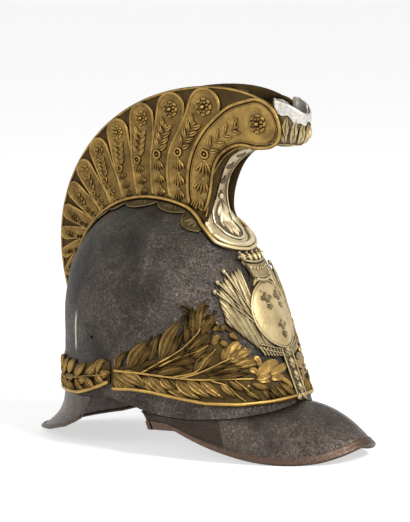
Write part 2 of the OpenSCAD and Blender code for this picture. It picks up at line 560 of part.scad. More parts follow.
// Channel for the mane: a trough between the side plates, below their edges
function channel_point(a, s, deep) =
    let(e = edge_turn(a), p = crest_edge(e), q = foot_point(a), down = unit(q - p), r = p + deep*down,
        x = crest_x(r) - brass_t - gap)
    at(x*s, r[0], r[1]);
function channel_grid() = let(shape = [[1, 0.45], [0.98, 0.8], [0.75, 1], [0, 1.05], [-0.75, 1], [-0.98, 0.8], [-1, 0.45]])
    [for (c = [0:27]) let(a = mix(150, comb_to + 1, c/27)) [for (m = shape) channel_point(a, m[0], channel_depth*m[1])]];
module crest_channel() color([0.3, 0.22, 0.13]) sheet(channel_grid(), 0.9);

// Foot: a flat flange with a scalloped edge on the skull, and the bead along the crest
flange_line = [[52, 33], [54, 40], [58, 42.5], [62, 38], [65, 31.5], [71, 33], [78, 34], [83, 31], [88, 33], [98, 35],
               [104, 29.5], [112, 28], [120, 23], [135, 16], [150, 11]];
foot_cols = 30;
function foot_grid() = [for (k = [1, 0.65, 0.3, 0]) [for (c = [0:foot_cols])
    let(a = mix(150, 52, c/foot_cols), inner = lookup(a, foot_line) - 2, x = mix(inner, lookup(a, flange_line), k))
    over(x, a, gap + brass_t)]];
module crest_foot_left() color([0.84, 0.74, 0.5]) sheet(foot_grid(), brass_t);
module crest_foot_right() mirror([1, 0, 0]) crest_foot_left();
bead_side = bead_r + 3*gap;
function bead_x(a) = lookup(a, foot_line) + bead_side;
bead_half = concat([for (a = [176:-4:52]) [bead_x(a), a]], [for (k = [0.97, 0.88, 0.72, 0.5, 0.25])
    [fan_half_w*k + 1.2, lookup(fan_half_w*k, fan_line)]]);
bead_path = concat(bead_half, [[0, 32.4]], [for (k = [len(bead_half) - 1:-1:0]) [-bead_half[k][0], bead_half[k][1]]]);
module crest_bead() color([0.84, 0.74, 0.5])
    wire([for (p = bead_path) over(p[0], p[1], gap + brass_t + gap + bead_r)], bead_r,
         [for (p = bead_path) let(q = over(p[0], p[1], 0)) unit(q - at(0, hub[0], hub[1]))], sides = 6);

// Saddle inside the crest: it lies on the skull and carries the studs
function saddle_grid() = [for (c = [0:20]) let(a = mix(146, 55, c/20))
    [for (s = [-1:0.5:1]) over((lookup(a, foot_line) - 4)*s, a, gap + brass_t)]];
module saddle_plate() sheet(saddle_grid(), brass_t);
module stud_places() for (a = stud_angles) {
    p = over(0, a, 0);
    n = let(q = over(0, a - 1, 0), r = over(0, a + 1, 0), v = unit(r - q)) [0, -v.z, v.y];
    translate(p) rotate([atan2(-n.y, n.z), 0, 0]) rotate([0, 0, 30]) children();
}
module crest_saddle() color(gilt) difference() {
    saddle_plate();
    stud_places() cylinder(h = 12, d = stud_d + 2*hole_fit, center = true, $fn = 24);
}
module crest_studs() color(gilt) stud_places() {
    translate([0, 0, -steel_t - stud_len]) cylinder(h = steel_t + stud_len + 2*gap + brass_t, d = stud_d, $fn = 24);
    translate([0, 0, 2*gap + brass_t]) cylinder(h = 2, d = 2.2*stud_d, $fn = 24);
}
module crest_nuts() color(steel) stud_places()
    translate([0, 0, -steel_t - 3*gap - nut_t]) difference() {
        cylinder(h = nut_t, d = nut_w/cos(30), $fn = 6);
        translate([0, 0, -1]) cylinder(h = nut_t + 2, d = stud_d + 0.1, $fn = 24);
    }

// Lining: a sweatband above the flanges and tongues that a lace draws together
sweat_low = flange_h + 3;
function sweat_grid() = [for (h = [0, 0.5, 1]) [for (c = [0:39])
    let(t = 9*c) wall(t, brow_h + sweat_low + sweatband_h*h, -lining_in)]];
module sweatband() color(tan_leather) sheet(sweat_grid(), leather_t, loop = true);
tongue_top_h = 128;
// Point of the liner at turn t, k of the way up
function liner(t, k) =
    let(h = mix(sweat_low + sweatband_h - 8, tongue_top_h, k), d = -lining_in - leather_t - 3*gap - 9*k*k,
        p = wall(t, brow_h + h, d), c = at(0, dome_mid(brow_h + h, 0), brow_h + h + 14*k*k))
    mix(p, c, 0.55*pow(k, 4));
function tongue_grid(i) = [for (k = [0:0.2:1.01]) [for (s = [-1:0.5:1])
    liner((i + 0.5)*360/tongues + s*mix(168, 110, k*k)/tongues, k)]];
module liner_tongues() color(tan_leather) for (i = [0:tongues - 1]) sheet(tongue_grid(i), leather_t);
// The lace runs round the inside of the tongues' ends
lace_r = 1;
function lace_point(t) =
    let(a = liner(t, 0.8), b = liner(t, 1), p = mix(a, b, 0.8), side = unit(liner(t + 2, 1) - liner(t - 2, 1)))
    p - (leather_t + gap + lace_r)*unit(cross(b - a, side));
lace_turns = [for (t = [0:10:350]) t];
module liner_lace() color([0.75, 0.68, 0.55])
    wire([for (t = lace_turns) lace_point(t)], lace_r, [for (t = lace_turns) [0, 0, 1]], sides = 6, closed = true);

skull();
visor();
visor_binding();
visor_rivets();
neck_guard();
guard_binding();
neck_guard_rivets();
side_band_right();
side_band_left();
rear_band();
band_studs();
front_plate();
front_shield();
front_crown();
crest_side_right();
crest_side_left();
crest_mask();
crest_cup();
cup_lining();
crest_channel();
crest_foot_right();
crest_foot_left();
crest_bead();
crest_saddle();
crest_studs();
crest_nuts();
sweatband();
liner_tongues();
liner_lace();
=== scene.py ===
"""A cavalry helmet: pitted steel skull and visor, gilt leaf bands, and a tall gadrooned crest."""

import math

import bpy
import numpy as np
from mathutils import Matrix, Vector


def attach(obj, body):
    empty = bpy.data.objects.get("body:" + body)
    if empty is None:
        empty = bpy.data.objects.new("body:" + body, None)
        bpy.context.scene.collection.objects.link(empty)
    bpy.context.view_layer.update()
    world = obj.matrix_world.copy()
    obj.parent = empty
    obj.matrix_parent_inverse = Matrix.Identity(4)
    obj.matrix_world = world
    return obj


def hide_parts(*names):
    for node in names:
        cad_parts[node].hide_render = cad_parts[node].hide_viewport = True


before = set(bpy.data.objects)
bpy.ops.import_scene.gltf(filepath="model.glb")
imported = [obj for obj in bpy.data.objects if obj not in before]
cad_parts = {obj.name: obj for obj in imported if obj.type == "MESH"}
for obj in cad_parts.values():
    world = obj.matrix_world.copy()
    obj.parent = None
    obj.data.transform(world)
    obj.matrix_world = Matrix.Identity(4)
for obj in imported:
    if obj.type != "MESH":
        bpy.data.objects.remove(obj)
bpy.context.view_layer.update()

# Lengths are in millimetres until place() puts them in a mesh, and angles are in degrees.
# A reach is counted forwards from the middle of the skull; the wearer's left is +X.
MM = 0.001
SKULL_HALF_W = 95.0
SKULL_BACK = 122.0
SKULL_FRONT = 127.0
SKULL_H = 181.5
CROWN_SHIFT = 27.0
FOREHEAD_LEAN = 22.3
BROW_PINCH = 0.15
BROW_Z = 48.0
SIDE_Z = BROW_Z + 57.0
BACK_Z = BROW_Z + 77.0
TOP_Z = BROW_Z + SKULL_H
STEEL_T = 1.2
BRASS_T = 1.1
GAP = 0.3
BRASS_LIFT = GAP + BRASS_T
MIDDLE_REACH = 22.5
HUB_REACH = -CROWN_SHIFT
HUB_Z = BACK_Z


def sin(angle):
    return np.sin(np.radians(angle))


def cos(angle):
    return np.cos(np.radians(angle))


def clip(value, low=0.0, high=1.0):
    return np.clip(value, low, high)


def mix(a, b, k):
    return a + (b - a)*k


def ease(k):
    k = clip(k)
    return k*k*(3 - 2*k)


def hump(value, middle, width):
    return np.exp(-((value - middle)/width)**2)


def lookup(value, line):
    table = np.array(line, float)
    return np.interp(value, table[:, 0], table[:, 1])


def vec(*values):
    return np.array(values, float)


def unit(v):
    return v/np.maximum(np.linalg.norm(v, axis=-1, keepdims=True), 1e-12)


def left_of(v):
    """A quarter turn to the left in the middle plane."""
    return np.stack([-v[..., 1], v[..., 0]], -1)


def at(x, reach, z):
    return np.stack(np.broadcast_arrays(x, MIDDLE_REACH - np.asarray(reach), z), -1).astype(float)


# The skull's surface

def dome_rise(z, d):
    return clip((z - BROW_Z)/(SKULL_H + d))


def dome_w(z, d):
    return (SKULL_HALF_W + d)*np.sqrt(1 - clip((z - SIDE_Z)/(TOP_Z + d - SIDE_Z))**2)


def dome_rear(z, d):
    share = clip((z - BACK_Z)/(TOP_Z + d - BACK_Z))
    return CROWN_SHIFT + (SKULL_BACK + d - CROWN_SHIFT)*np.sqrt(1 - share**2.2)


def dome_fore(z, d):
    lean = math.tan(math.radians(FOREHEAD_LEAN))*(z - BROW_Z)
    return -CROWN_SHIFT + (SKULL_FRONT + d + CROWN_SHIFT - lean)*np.sqrt(1 - dome_rise(z, d)**8)


def dome_mid(z, d):
    return -CROWN_SHIFT*dome_rise(z, d)**2


def wall(t, z, d=0.0):
    """The skull d outside its steel; t turns from the wearer's left over the front (90) to the right."""
    s, c, mid = sin(t), cos(t), dome_mid(z, d)
    power = np.where(s > 0, 1 + BROW_PINCH*(1 - dome_rise(z, d)), 1)
    x = dome_w(z, d)*np.sign(c)*np.abs(c)**power
    return at(x, mid + np.where(s > 0, dome_fore(z, d) - mid, dome_rear(z, d) + mid)*s, z)


def in_dome(x, reach, z, d):
    mid = dome_mid(z, d)
    ahead = reach > mid
    depth = np.where(ahead, dome_fore(z, d) - mid, dome_rear(z, d) + mid)
    power = np.where(ahead, 1 + BROW_PINCH*(1 - dome_rise(z, d)), 1)
    with np.errstate(divide="ignore", invalid="ignore"):
        share = (np.abs(x)/dome_w(z, d))**(2/power) + (np.abs(reach - mid)/depth)**2
    return (z < TOP_Z + d) & (share < 1)


def ray(x, a, d):
    """Distance from the hub to the skull at side offset x, along the angle a."""
    x, a, d = (np.array(v, float) for v in np.broadcast_arrays(x, a, d))
    near, far = np.full(x.shape, 20.0), np.full(x.shape, 200.0)
    for _ in range(20):
        k = (near + far)/2
        inside = in_dome(x, HUB_REACH + k*cos(a), HUB_Z + k*sin(a), d)
        near, far = np.where(inside, k, near), np.where(inside, far, k)
    return near


def over(x, a, d=0.0):
    k = ray(x, a, d)
    return at(x, HUB_REACH + k*cos(a), HUB_Z + k*sin(a))


def turn(t):
    return np.degrees(np.arcsin(clip(sin(t), -1, 1)))


def above_brow(line):
    """The height at a turn, by a line of turns and heights above the brow."""
    return lambda t: BROW_Z + lookup(turn(t), line)


border_z = above_brow([(-90, -2), (-30, 1), (-12, 4.5), (0, 0), (10, -7), (25, -10.5), (45, -9), (65, -4.5),
                       (90, 3)])


# Modelling by primitives, whose points are then set out over a surface

SEAM_REACH = 0.02


def deselect():
    bpy.ops.object.select_all(action="DESELECT")


def pick(piece):
    deselect()
    piece.select_set(True)
    bpy.context.view_layer.objects.active = piece


def points_of(piece):
    flat = np.empty(len(piece.data.vertices)*3)
    piece.data.vertices.foreach_get("co", flat)
    return flat.reshape(-1, 3)


def place(piece, points):
    piece.data.vertices.foreach_set("co", (points*MM).ravel())
    piece.data.update()


def set_relief(piece, values):
    """How far a point stands out of its recess, 0 to 1; the gilding darkens its hollows with patina and
    painted shade, and lightens its highest parts with worn edges and a painted highlight.
    """
    layer = piece.data.attributes.get("relief") or piece.data.attributes.new("relief", "FLOAT", "POINT")
    layer.data.foreach_set("value", np.broadcast_to(values, len(piece.data.vertices)).astype(np.float32))


def edit(piece, *steps):
    """Runs mesh operators on all of the piece."""
    pick(piece)
    bpy.ops.object.mode_set(mode="EDIT")
    bpy.ops.mesh.select_all(action="SELECT")
    for step in steps:
        step()
    bpy.ops.object.mode_set(mode="OBJECT")


def flip(piece):
    edit(piece, lambda: bpy.ops.mesh.flip_normals())


def apply_modifier(piece, kind, **settings):
    pick(piece)
    modifier = piece.modifiers.new(kind.lower(), kind)
    for name, value in settings.items():
        setattr(modifier, name, value)
    bpy.ops.object.modifier_apply(modifier=modifier.name)


def woven(name, cols, rows, where, relief=0.5, thick=0.0, seam=False, outward=True):
    """A grid of faces, thickened inwards; where(u, v) gives its points for u and v from 0 to 1."""
    deselect()
    bpy.ops.mesh.primitive_grid_add(x_subdivisions=cols, y_subdivisions=rows, size=1)
    piece = bpy.context.object
    piece.name = piece.data.name = name
    shares = points_of(piece) + 0.5
    u, v = shares[:, 0], shares[:, 1]
    place(piece, where(u, v))
    set_relief(piece, relief(u, v) if callable(relief) else relief)
    if seam:
        edit(piece, lambda: bpy.ops.mesh.remove_doubles(threshold=SEAM_REACH*MM))
    if not outward:
        flip(piece)
    if thick:
        apply_modifier(piece, "SOLIDIFY", thickness=thick*MM, offset=-1)
    return piece


class Skin:
    """A surface that ornaments are laid on; where(p, q) gives its points.

    hand is 1 where q, then p turns out of the surface by the right-hand rule, and -1 otherwise."""

    def __init__(self, where, hand=1, step_p=0.3, step_q=0.3):
        self.where = where
        self.hand = hand
        self.step_p = step_p
        self.step_q = step_q

    def frame(self, p, q):
        a, b = self.step_p, self.step_q
        along_p = (self.where(p + a, q) - self.where(p - a, q))/(2*a)
        along_q = (self.where(p, q + b) - self.where(p, q - b))/(2*b)
        out = unit(np.cross(along_q, along_p))*self.hand
        return out, np.linalg.norm(along_p, axis=-1), np.linalg.norm(along_q, axis=-1)

    def beside(self, p, q, right, up, lift):
        """The points right and up of (p, q) along the surface, in mm, and lift above it."""
        _, size_p, size_q = self.frame(p, q)
        p = p - self.hand*right/np.maximum(size_p, 0.05)
        q = q + up/np.maximum(size_q, 0.05)
        out, _, _ = self.frame(p, q)
        return self.where(p, q) + out*np.asarray(lift)[..., None]


def through(path, k):
    """A smooth curve through the points of the path."""
    path = np.array(path, float)
    if len(path) == 2:
        return mix(path[0], path[1], np.asarray(k)[..., None])
    path = np.vstack([2*path[0] - path[1], path, 2*path[-1] - path[-2]])
    place_on = clip(k)*(len(path) - 3)
    i = np.minimum(place_on.astype(int), len(path) - 4)
    r = (place_on - i)[..., None]
    a, b, c, d = path[i], path[i + 1], path[i + 2], path[i + 3]
    return b + 0.5*r*(c - a + r*(2*a - 5*b + 4*c - d + r*(3*(b - c) + d - a)))


pods = {}


def pod(sides, rings):
    """A closed blank with its poles at its ends: u across, w up, and v along from 0 to 1."""
    if (sides, rings) not in pods:
        deselect()
        bpy.ops.mesh.primitive_uv_sphere_add(segments=sides, ring_count=rings, radius=1)
        blank = bpy.context.object
        points = points_of(blank)
        width = np.hypot(points[:, 0], points[:, 1])
        safe = np.maximum(width, 1e-6)
        v = np.degrees(np.arctan2(width, points[:, 2]))/180
        u = np.where(width > 1e-4, points[:, 0]/safe, 0)
        w = np.where(width > 1e-4, points[:, 1]/safe, 0)
        pods[sides, rings] = (blank, u, w, v)
    return pods[sides, rings]


def along(path, k):
    return through(path, np.array([k]))[0]


hoops = {}


def ring_blank(facets):
    """A ring with the angle of each of its points, and how far out and up it is in the ring's section."""
    if facets not in hoops:
        deselect()
        bpy.ops.mesh.primitive_torus_add(major_segments=facets, minor_segments=8, major_radius=2,
                                         minor_radius=1)
        blank = bpy.context.object
        points = points_of(blank)
        around = np.degrees(np.arctan2(points[:, 1], points[:, 0]))
        hoops[facets] = (blank, around, np.hypot(points[:, 0], points[:, 1]) - 2, points[:, 2])
    return hoops[facets]


class Embossing:
    """Ornaments on a skin, at a base height over it, that are joined to one piece."""

    def __init__(self, skin, base=0.0, *pieces):
        self.skin = skin
        self.base = base
        self.pieces = list(pieces)

    def stamp(self, blank, points, relief):
        piece = blank.copy()
        piece.data = blank.data.copy()
        bpy.context.collection.objects.link(piece)
        place(piece, points)
        set_relief(piece, clip(relief))
        self.pieces.append(piece)

    def sweep(self, path, half_w, lift, sides, rings):
        """A pod along a path; half_w(v) and lift(u, w, v) shape it."""
        blank, u, w, v = pod(sides, rings)
        spine = through(path, v)
        p, q = spine[:, 0], spine[:, 1]
        ahead = through(path, clip(v + 0.01)) - through(path, clip(v - 0.01))
        _, size_p, size_q = self.skin.frame(p, q)
        heading = unit(np.stack([-self.skin.hand*ahead[:, 0]*size_p, ahead[:, 1]*size_q], -1))
        side = u*half_w(v)
        height, relief = lift(u, w, v)
        points = self.skin.beside(p, q, heading[:, 1]*side, -heading[:, 0]*side, self.base + height)
        self.stamp(blank, points, relief)

    def rod(self, path, radius, lift=0.0, taper=1.0, sides=8, rings=None, relief=0.9):
        """A round rod with round ends, that narrows to taper of its radius."""
        stops = through(path, np.linspace(0, 1, 40))
        steps = np.diff(self.skin.where(stops[:, 0], stops[:, 1]), axis=0)
        length = float(np.linalg.norm(steps, axis=1).sum())
        end = clip(radius/max(length, 1e-6), 0.001, 0.5)

        def width(v):
            return radius*mix(1, taper, v)*np.sqrt(1 - (1 - clip(np.minimum(v, 1 - v)/end))**2)

        rings = rings or int(clip(length/2.2, 6, 150))
        # Relief peaks along the rod's top, where the gilding paints a highlight line.
        self.sweep(path, width, lambda u, w, v: (lift + w*width(v), relief*(0.55 + 0.45*w)), sides, rings)

    def leaf(self, path, width, height=1.6, lift=0.0, belly=0.85, rim=0.0, rib=0.35, cup=0.0, fine=True,
             blunt=0.8, veins=0, relief=1.0, base=0.25):
        """A leaf along its midrib; base is the shade of its lowest parts."""
        def surface(u, w, v):
            side = np.abs(u)
            swell = sin(180*clip(v)**belly)**0.5
            body = np.sqrt(clip(1 - u*u))*(1 - cup) + rim*hump(side, 0.82, 0.16) + rib*hump(u, 0, 0.16)
            body = body + veins*0.07*sin(360*(6*v + 1.2*side))*(1 - side)
            top = lift + height*swell*body*mix(0.55, 1.0, ease(3*v))
            above = w > -0.01
            return np.where(above, top, lift - 1.5), np.where(above, relief*(base + 0.8*body*swell), 0)

        sides, rings = (20, 14) if fine else (12, 8)
        self.sweep(path, lambda v: 0.5*width*sin(180*clip(v)**belly)**blunt, surface, sides, rings)

    def boss(self, p, q, radius, height, lift=0.0, sides=10, rings=6, relief=1.0, stretch=1.0):
        """A round dome; stretch makes it longer along q."""
        blank, u, w, v = pod(sides, rings)
        across = sin(180*v)
        rise = np.where(w > 0, w*across, 0.4*w*across)
        middle = np.full(len(v), float(p)), np.full(len(v), float(q))
        points = self.skin.beside(*middle, radius*u*across, -radius*stretch*cos(180*v),
                                  self.base + lift + height*rise)
        self.stamp(blank, points, relief*(0.45 + 0.55*rise))

    def hoop(self, p, q, radius, thick, lift, stretch=1.0, facets=24):
        blank, around, wide, up = ring_blank(facets)
        reach = radius + thick*wide
        middle = np.full(len(up), float(p)), np.full(len(up), float(q))
        points = self.skin.beside(*middle, reach*cos(around), (reach + radius*(stretch - 1))*sin(around),
                                  self.base + lift + thick*up)
        self.stamp(blank, points, 0.95*(0.5 + 0.5*up))

    def rosette(self, p, q, radius, lift, petals=8):
        """A knob in two rings of petals."""
        self.boss(p, q, 0.24*radius, 0.34*radius, lift + 0.2*radius)
        _, size_p, size_q = self.skin.frame(vec(p), vec(q))
        for near, far, rise, phase, crowd in ((0.42, 1.0, 0.26, 0, 1.12), (0.16, 0.66, 0.3, 0.5, 1.2)):
            for n in range(petals):
                angle = 360*(n + phase)/petals
                path = [(p - self.skin.hand*cos(angle)*r/size_p[0], q + sin(angle)*r/size_q[0])
                        for r in (near*radius, far*radius)]
                self.leaf(path, math.pi*radius*(near + far)/petals*crowd, rise*radius,
                          lift + 0.12*phase*radius, belly=1.3, blunt=0.55, rib=-0.35, fine=False)

    def join(self, name):
        deselect()
        for piece in self.pieces:
            piece.select_set(True)
        bpy.context.view_layer.objects.active = self.pieces[0]
        if len(self.pieces) > 1:
            bpy.ops.object.join()
        whole = bpy.context.object
        whole.name = whole.data.name = name
        return whole


def finish_piece(piece, material, slot, node, angle=50):
    """Smooths a piece, gives it its finish and puts it in the place of its CAD node."""
    pick(piece)
    bpy.ops.object.shade_smooth_by_angle(angle=math.radians(angle))
    piece.data.materials.clear()
    piece.data.materials.append(material)
    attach(piece, "root")
    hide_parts(node)


def mirrored(piece, name):
    """The same piece on the other side of the helmet."""
    other = piece.copy()
    other.data = piece.data.copy()
    other.name = other.data.name = name
    bpy.context.collection.objects.link(other)
    place(other, points_of(other)/MM*np.array([-1, 1, 1]))
    flip(other)
    return other


# The crest's shape: its outline in the middle plane as reach and height, and its half width

PEAK_Z = TOP_Z + 107.0
HEAD_Z = PEAK_Z - 30.5
HEEL_Z = BROW_Z + 137.0
CREST_BACK = 141.0
CREST_FRONT = 113.0
PEAK_REACH = 45.0
HEEL_R = 150.0
HEAD_R = 22.0
THROAT_R = 50.0
THROAT_REACH = 36.0 + THROAT_R
THROAT_Z = HEAD_Z - HEAD_R - THROAT_R - 2
COMB_FROM = 184.0
COMB_TO = 52.0
CREST_HALF_W = 20.0
HEEL_HALF_W = 3.5
NECK_WAIST = 6.0
FAN_HALF_W = 31.0
BEAD_R = 1.8
BEAD_LIFT = 3.5
EDGE_LINE = [(52, 77), (66, 94), (140, 170), (155, 183), (186, 206.5)]
FOOT_LINE = [(45, 29), (52, 27), (58, 22.6), (66, 18), (80, 17.2), (100, 16), (125, 12.6), (150, 7),
             (170, 4), (186, 3)]
FAN_LINE = [(0, 32.7), (8, 33.2), (19, 35.2), (28, 39.5), (31, 44)]


def crest_edge(e):
    """Reach and height of the crest's edge at the turn e."""
    e = np.asarray(e, float)
    parts = [e > 180, e > 90, e > 0]
    f = np.select(parts, [-CREST_BACK + HEEL_R*(1 - cos(e - 180)),
                          PEAK_REACH + (CREST_BACK + PEAK_REACH)*cos(e),
                          PEAK_REACH + (CREST_FRONT - PEAK_REACH)*cos(e)],
                  CREST_FRONT - HEAD_R + HEAD_R*cos(e))
    z = np.select(parts, [HEEL_Z - HEEL_R*sin(e - 180), HEEL_Z + (PEAK_Z - HEEL_Z)*sin(e),
                          HEAD_Z + (PEAK_Z - HEAD_Z)*sin(e)], HEAD_Z + HEAD_R*sin(e))
    return np.stack([f, z], -1)


def edge_turn(a):
    return lookup(a, EDGE_LINE)


def crest_half(f):
    return HEEL_HALF_W + (CREST_HALF_W - HEEL_HALF_W)*sin(90*clip((f + CREST_BACK)/(CREST_BACK + 60)))**0.9


def crest_x(f, z):
    a = np.degrees(np.arctan2(z - HUB_Z, f - HUB_REACH)) % 360
    above = np.maximum(0, np.hypot(f - HUB_REACH, z - HUB_Z) - ray(0, a, 0))
    foot = np.exp(-above/9)
    from_throat = np.hypot(f - THROAT_REACH, z - THROAT_Z)
    bearing = np.degrees(np.arctan2(z - THROAT_Z, f - THROAT_REACH)) % 360
    facing = cos(1.5*clip(np.abs(bearing - 168), 0, 60))
    waist = NECK_WAIST*hump(from_throat, THROAT_R, 16)*facing
    return mix(crest_half(f), lookup(a, FOOT_LINE), foot) - waist*(1 - foot)


def on_crest(points, out=0.0, share=1.0):
    """The side's points for reaches and heights, out beyond the plain sheet and at a share of its width."""
    f, z = points[..., 0], points[..., 1]
    return at((crest_x(f, z) + out)*share, f, z)


def foot_point(a):
    p = over(lookup(a, FOOT_LINE), a, BRASS_T + 2*GAP + 0.25 + 0.9*ease((80 - a)/25))
    return np.stack([MIDDLE_REACH - p[..., 1], p[..., 2]], -1)


def throat_edge(k):
    """Lower edge of the plate from its foot up the neck and under the head."""
    k = np.asarray(k, float)[..., None]
    bearing = 180 - 90*clip((k - 0.2)/0.65)
    arc = np.concatenate([THROAT_REACH + THROAT_R*cos(bearing), THROAT_Z + THROAT_R*sin(bearing)], -1)
    neck = mix(foot_point(COMB_TO), vec(THROAT_REACH - THROAT_R, THROAT_Z), clip(k/0.2))
    head = mix(vec(THROAT_REACH, THROAT_Z + THROAT_R), vec(CREST_FRONT - HEAD_R + 2, HEAD_Z - HEAD_R),
               clip((k - 0.85)/0.15))
    return np.where(k < 0.2, neck, np.where(k < 0.85, arc, head))


# Gadroons: a front one along the throat, and twelve behind it that each tuck under the one before

GADROONS = 13
GADROON_HIGH = 2.1
GADROON_LOW = 0.5
FRONT_GADROON = [(16, 225), (14, 239), (15, 258), (21, 277), (32, 294), (45, 307), (60, 318), (78, 324),
                 (92, 326), (106, 319), (114, 305), (114, 292), (106, 284), (90, 282), (73, 284),
                 (57, 279), (45, 269), (39, 255), (36.5, 236), (33, 217)]
HUB = vec(HUB_REACH, HUB_Z)


def gadroon_foot(i):
    """Angle about the hub at which the rear border of gadroon i stands on the foot."""
    return 66.5 + 11.6*i - 0.32*i*i


def gadroon_head(i):
    """Middle and radius of the round head of gadroon i, for i of 1 and more."""
    j = i - 1
    e = 94 + 13.1*j - 0.32*j*j
    edge = crest_edge(e)
    ahead = unit(crest_edge(e + 0.5) - crest_edge(e - 0.5))
    inset = 19 - 1.75*j + 0.045*j*j
    return edge + inset*left_of(ahead)*np.sign(np.cross(ahead, HUB - edge)), inset - 2.4


def forward_sway(i):
    """How much gadroon i leans with the front one, which fades towards the rear."""
    return math.exp((1 - i)/1.6)


def gadroon_outline(i):
    """Reach and height round gadroon i: up its rear border, round its head and down its front."""
    if i == 0:
        return through(FRONT_GADROON, np.linspace(0, 1, 240))
    middle, radius = gadroon_head(i)
    rear, front = foot_point(gadroon_foot(i)), foot_point(gadroon_foot(i - 1))
    up = unit(middle - (rear + front)/2)
    left = left_of(up)
    sway = forward_sway(i)
    lean = np.linalg.norm(middle - rear)

    def side(base, shoulder):
        stand = base - HUB
        rising = math.degrees(math.atan2(stand[1], stand[0])) + 24*sway
        k = np.linspace(0, 1, 90)[:, None]
        a = base + (0.35 + 0.25*sway)*lean*vec(cos(rising), sin(rising))
        b = shoulder - (0.35 + 0.1*sway)*lean*up
        return (1 - k)**3*base + 3*k*(1 - k)**2*a + 3*k*k*(1 - k)*b + k**3*shoulder

    angles = np.linspace(0, 180, 60)[1:-1, None]
    cap = middle + radius*(left*cos(angles) + up*sin(angles))
    return np.vstack([side(rear, middle + radius*left), cap, side(front, middle - radius*left)[::-1]])


outlines = [gadroon_outline(i) for i in range(GADROONS)]


def within(points, outline):
    """Which points lie inside a closed outline."""
    x, y = points[:, 0], points[:, 1]
    a, b = outline[::3], np.roll(outline[::3], -1, axis=0)
    inside = np.zeros(len(points), bool)
    for (ax, ay), (bx, by) in zip(a, b):
        crosses = (ay > y) != (by > y)
        inside ^= crosses & (x < ax + (bx - ax)*(y - ay)/np.where(by == ay, 1e-9, by - ay))
    return inside


def distance(points, line):
    """Distance of each point from a line of close points."""
    best = np.full(len(points), 1e9)
    for p in line:
        best = np.minimum(best, (points[:, 0] - p[0])**2 + (points[:, 1] - p[1])**2)
    return np.sqrt(best)


def gadroon_relief(points):
    """Height of the stamped plate over its plain surface."""
    height = np.zeros(len(points))
    covered = np.zeros(len(points), bool)
    to_front = np.full(len(points), 1e9)
    for i, outline in enumerate(outlines):
        own = within(points, outline) & ~covered
        to_own = distance(points, outline[::2])
        share = ease(to_own/6) if i == 0 else to_front/(to_front + to_own + 1e-6)
        height[own] = mix(GADROON_LOW, GADROON_HIGH, share[own])
        covered |= own
        to_front = np.minimum(to_front, to_own)
    return height


def crest_sheet_points(u, v):
    """The side plate's points in the middle plane, u along it from the heel to the nose, v outwards."""
    comb = 0.76
    a = mix(COMB_FROM, COMB_TO, clip(u/comb))
    k = clip((u - comb)/(1 - comb))
    low = np.where((u <= comb)[:, None], foot_point(a), throat_edge(k))
    high = crest_edge(np.where(u <= comb, edge_turn(a), mix(edge_turn(COMB_TO), -62, k)))
    return mix(low, high, v[:, None])


crest_face = Skin(lambda f, z: at(crest_x(f, z), f, z))


def visible_border(i):
    """The part of a gadroon's outline that no gadroon in front of it covers."""
    line = outlines[i]
    covered = np.zeros(len(line), bool)
    for front in outlines[:i]:
        covered |= within(line, front)
    last = max(int(np.argmax(covered)), 8) if covered.any() else len(line)
    return line[np.linspace(0, last - 1, 26 if i else 60).astype(int)]


def moved_in(line, offset):
    """A line beside the given one, offset to its right."""
    return line - offset*left_of(unit(np.gradient(line, axis=0)))


def axis_of(i):
    """Rosette, small disc and foot of the ornament on gadroon i."""
    if i == 0:
        return np.array([(92, 304), (33, 274), (24, 217)], float)
    middle, _ = gadroon_head(i)
    base = foot_point((gadroon_foot(i) + gadroon_foot(i - 1))/2)
    line = middle - base
    disc = mix(middle, base, 0.52) + unit(left_of(line))*np.linalg.norm(line)*(0.08 + 0.08*forward_sway(i))
    return np.array([middle, disc, base])


def sprig(work, i, disc, top, lift):
    """Laurel leaves in pairs on a stem that grows from the disc towards the rosette."""
    bow = [disc, disc + (top - disc)*0.5, top] if i else [disc, (54, 292), (79, 305)]
    leaf_l = clip(0.29*np.linalg.norm(top - disc), 3.6, 12.0)
    pairs = 4 if i < 6 else 3
    end = 0.68 if i else 0.86
    work.rod([along(bow, 0.03), along(bow, end/2), along(bow, end*0.95)], 0.5, lift, 0.6)
    for n in range(pairs):
        k = mix(0.14, end*0.84, n/(pairs - 1))
        root, ahead = along(bow, k), unit(along(bow, k + 0.02) - along(bow, k - 0.02))
        across = left_of(ahead)
        for way in (-1, 1):
            start = root + ahead*leaf_l*0.12*way
            bend = start + leaf_l*(0.28*ahead + 0.36*way*across)
            tip = start + leaf_l*(0.74*ahead + 0.60*way*across)
            work.leaf([start, bend, tip], 0.37*leaf_l, 2.0, lift, fine=i < 3, rib=-0.45, rim=0.3)
    work.leaf([along(bow, end*0.84), along(bow, end)], 0.36*leaf_l, 2.3, lift, fine=False, rib=-0.4)


def husks(work, i, disc, base, lift):
    """Three husks of pointed leaves, each hanging from a bead."""
    drop = np.linalg.norm(disc - base)
    down = unit(base - disc)
    across = left_of(down)
    for n, long in enumerate((0.29*drop, 0.29*drop, 0.26*drop)):
        head = mix(disc, base, 0.09 + 0.3*n)
        work.boss(*(head + down*0.08*long), 0.1*long, 1.4, lift, 8)
        for spread in (-1, -0.5, 0, 0.5, 1) if i < 5 else (-1, 0, 1):
            tip = head + down*long*(1 - 0.22*abs(spread)) + across*spread*0.46*long
            bend = head + down*long*0.45 + across*spread*0.30*long
            work.leaf([head, bend, tip], (0.165 if i < 5 else 0.26)*long, 2.4 - 0.7*abs(spread), lift,
                      rib=-0.3, fine=False, belly=1.3, blunt=0.6)


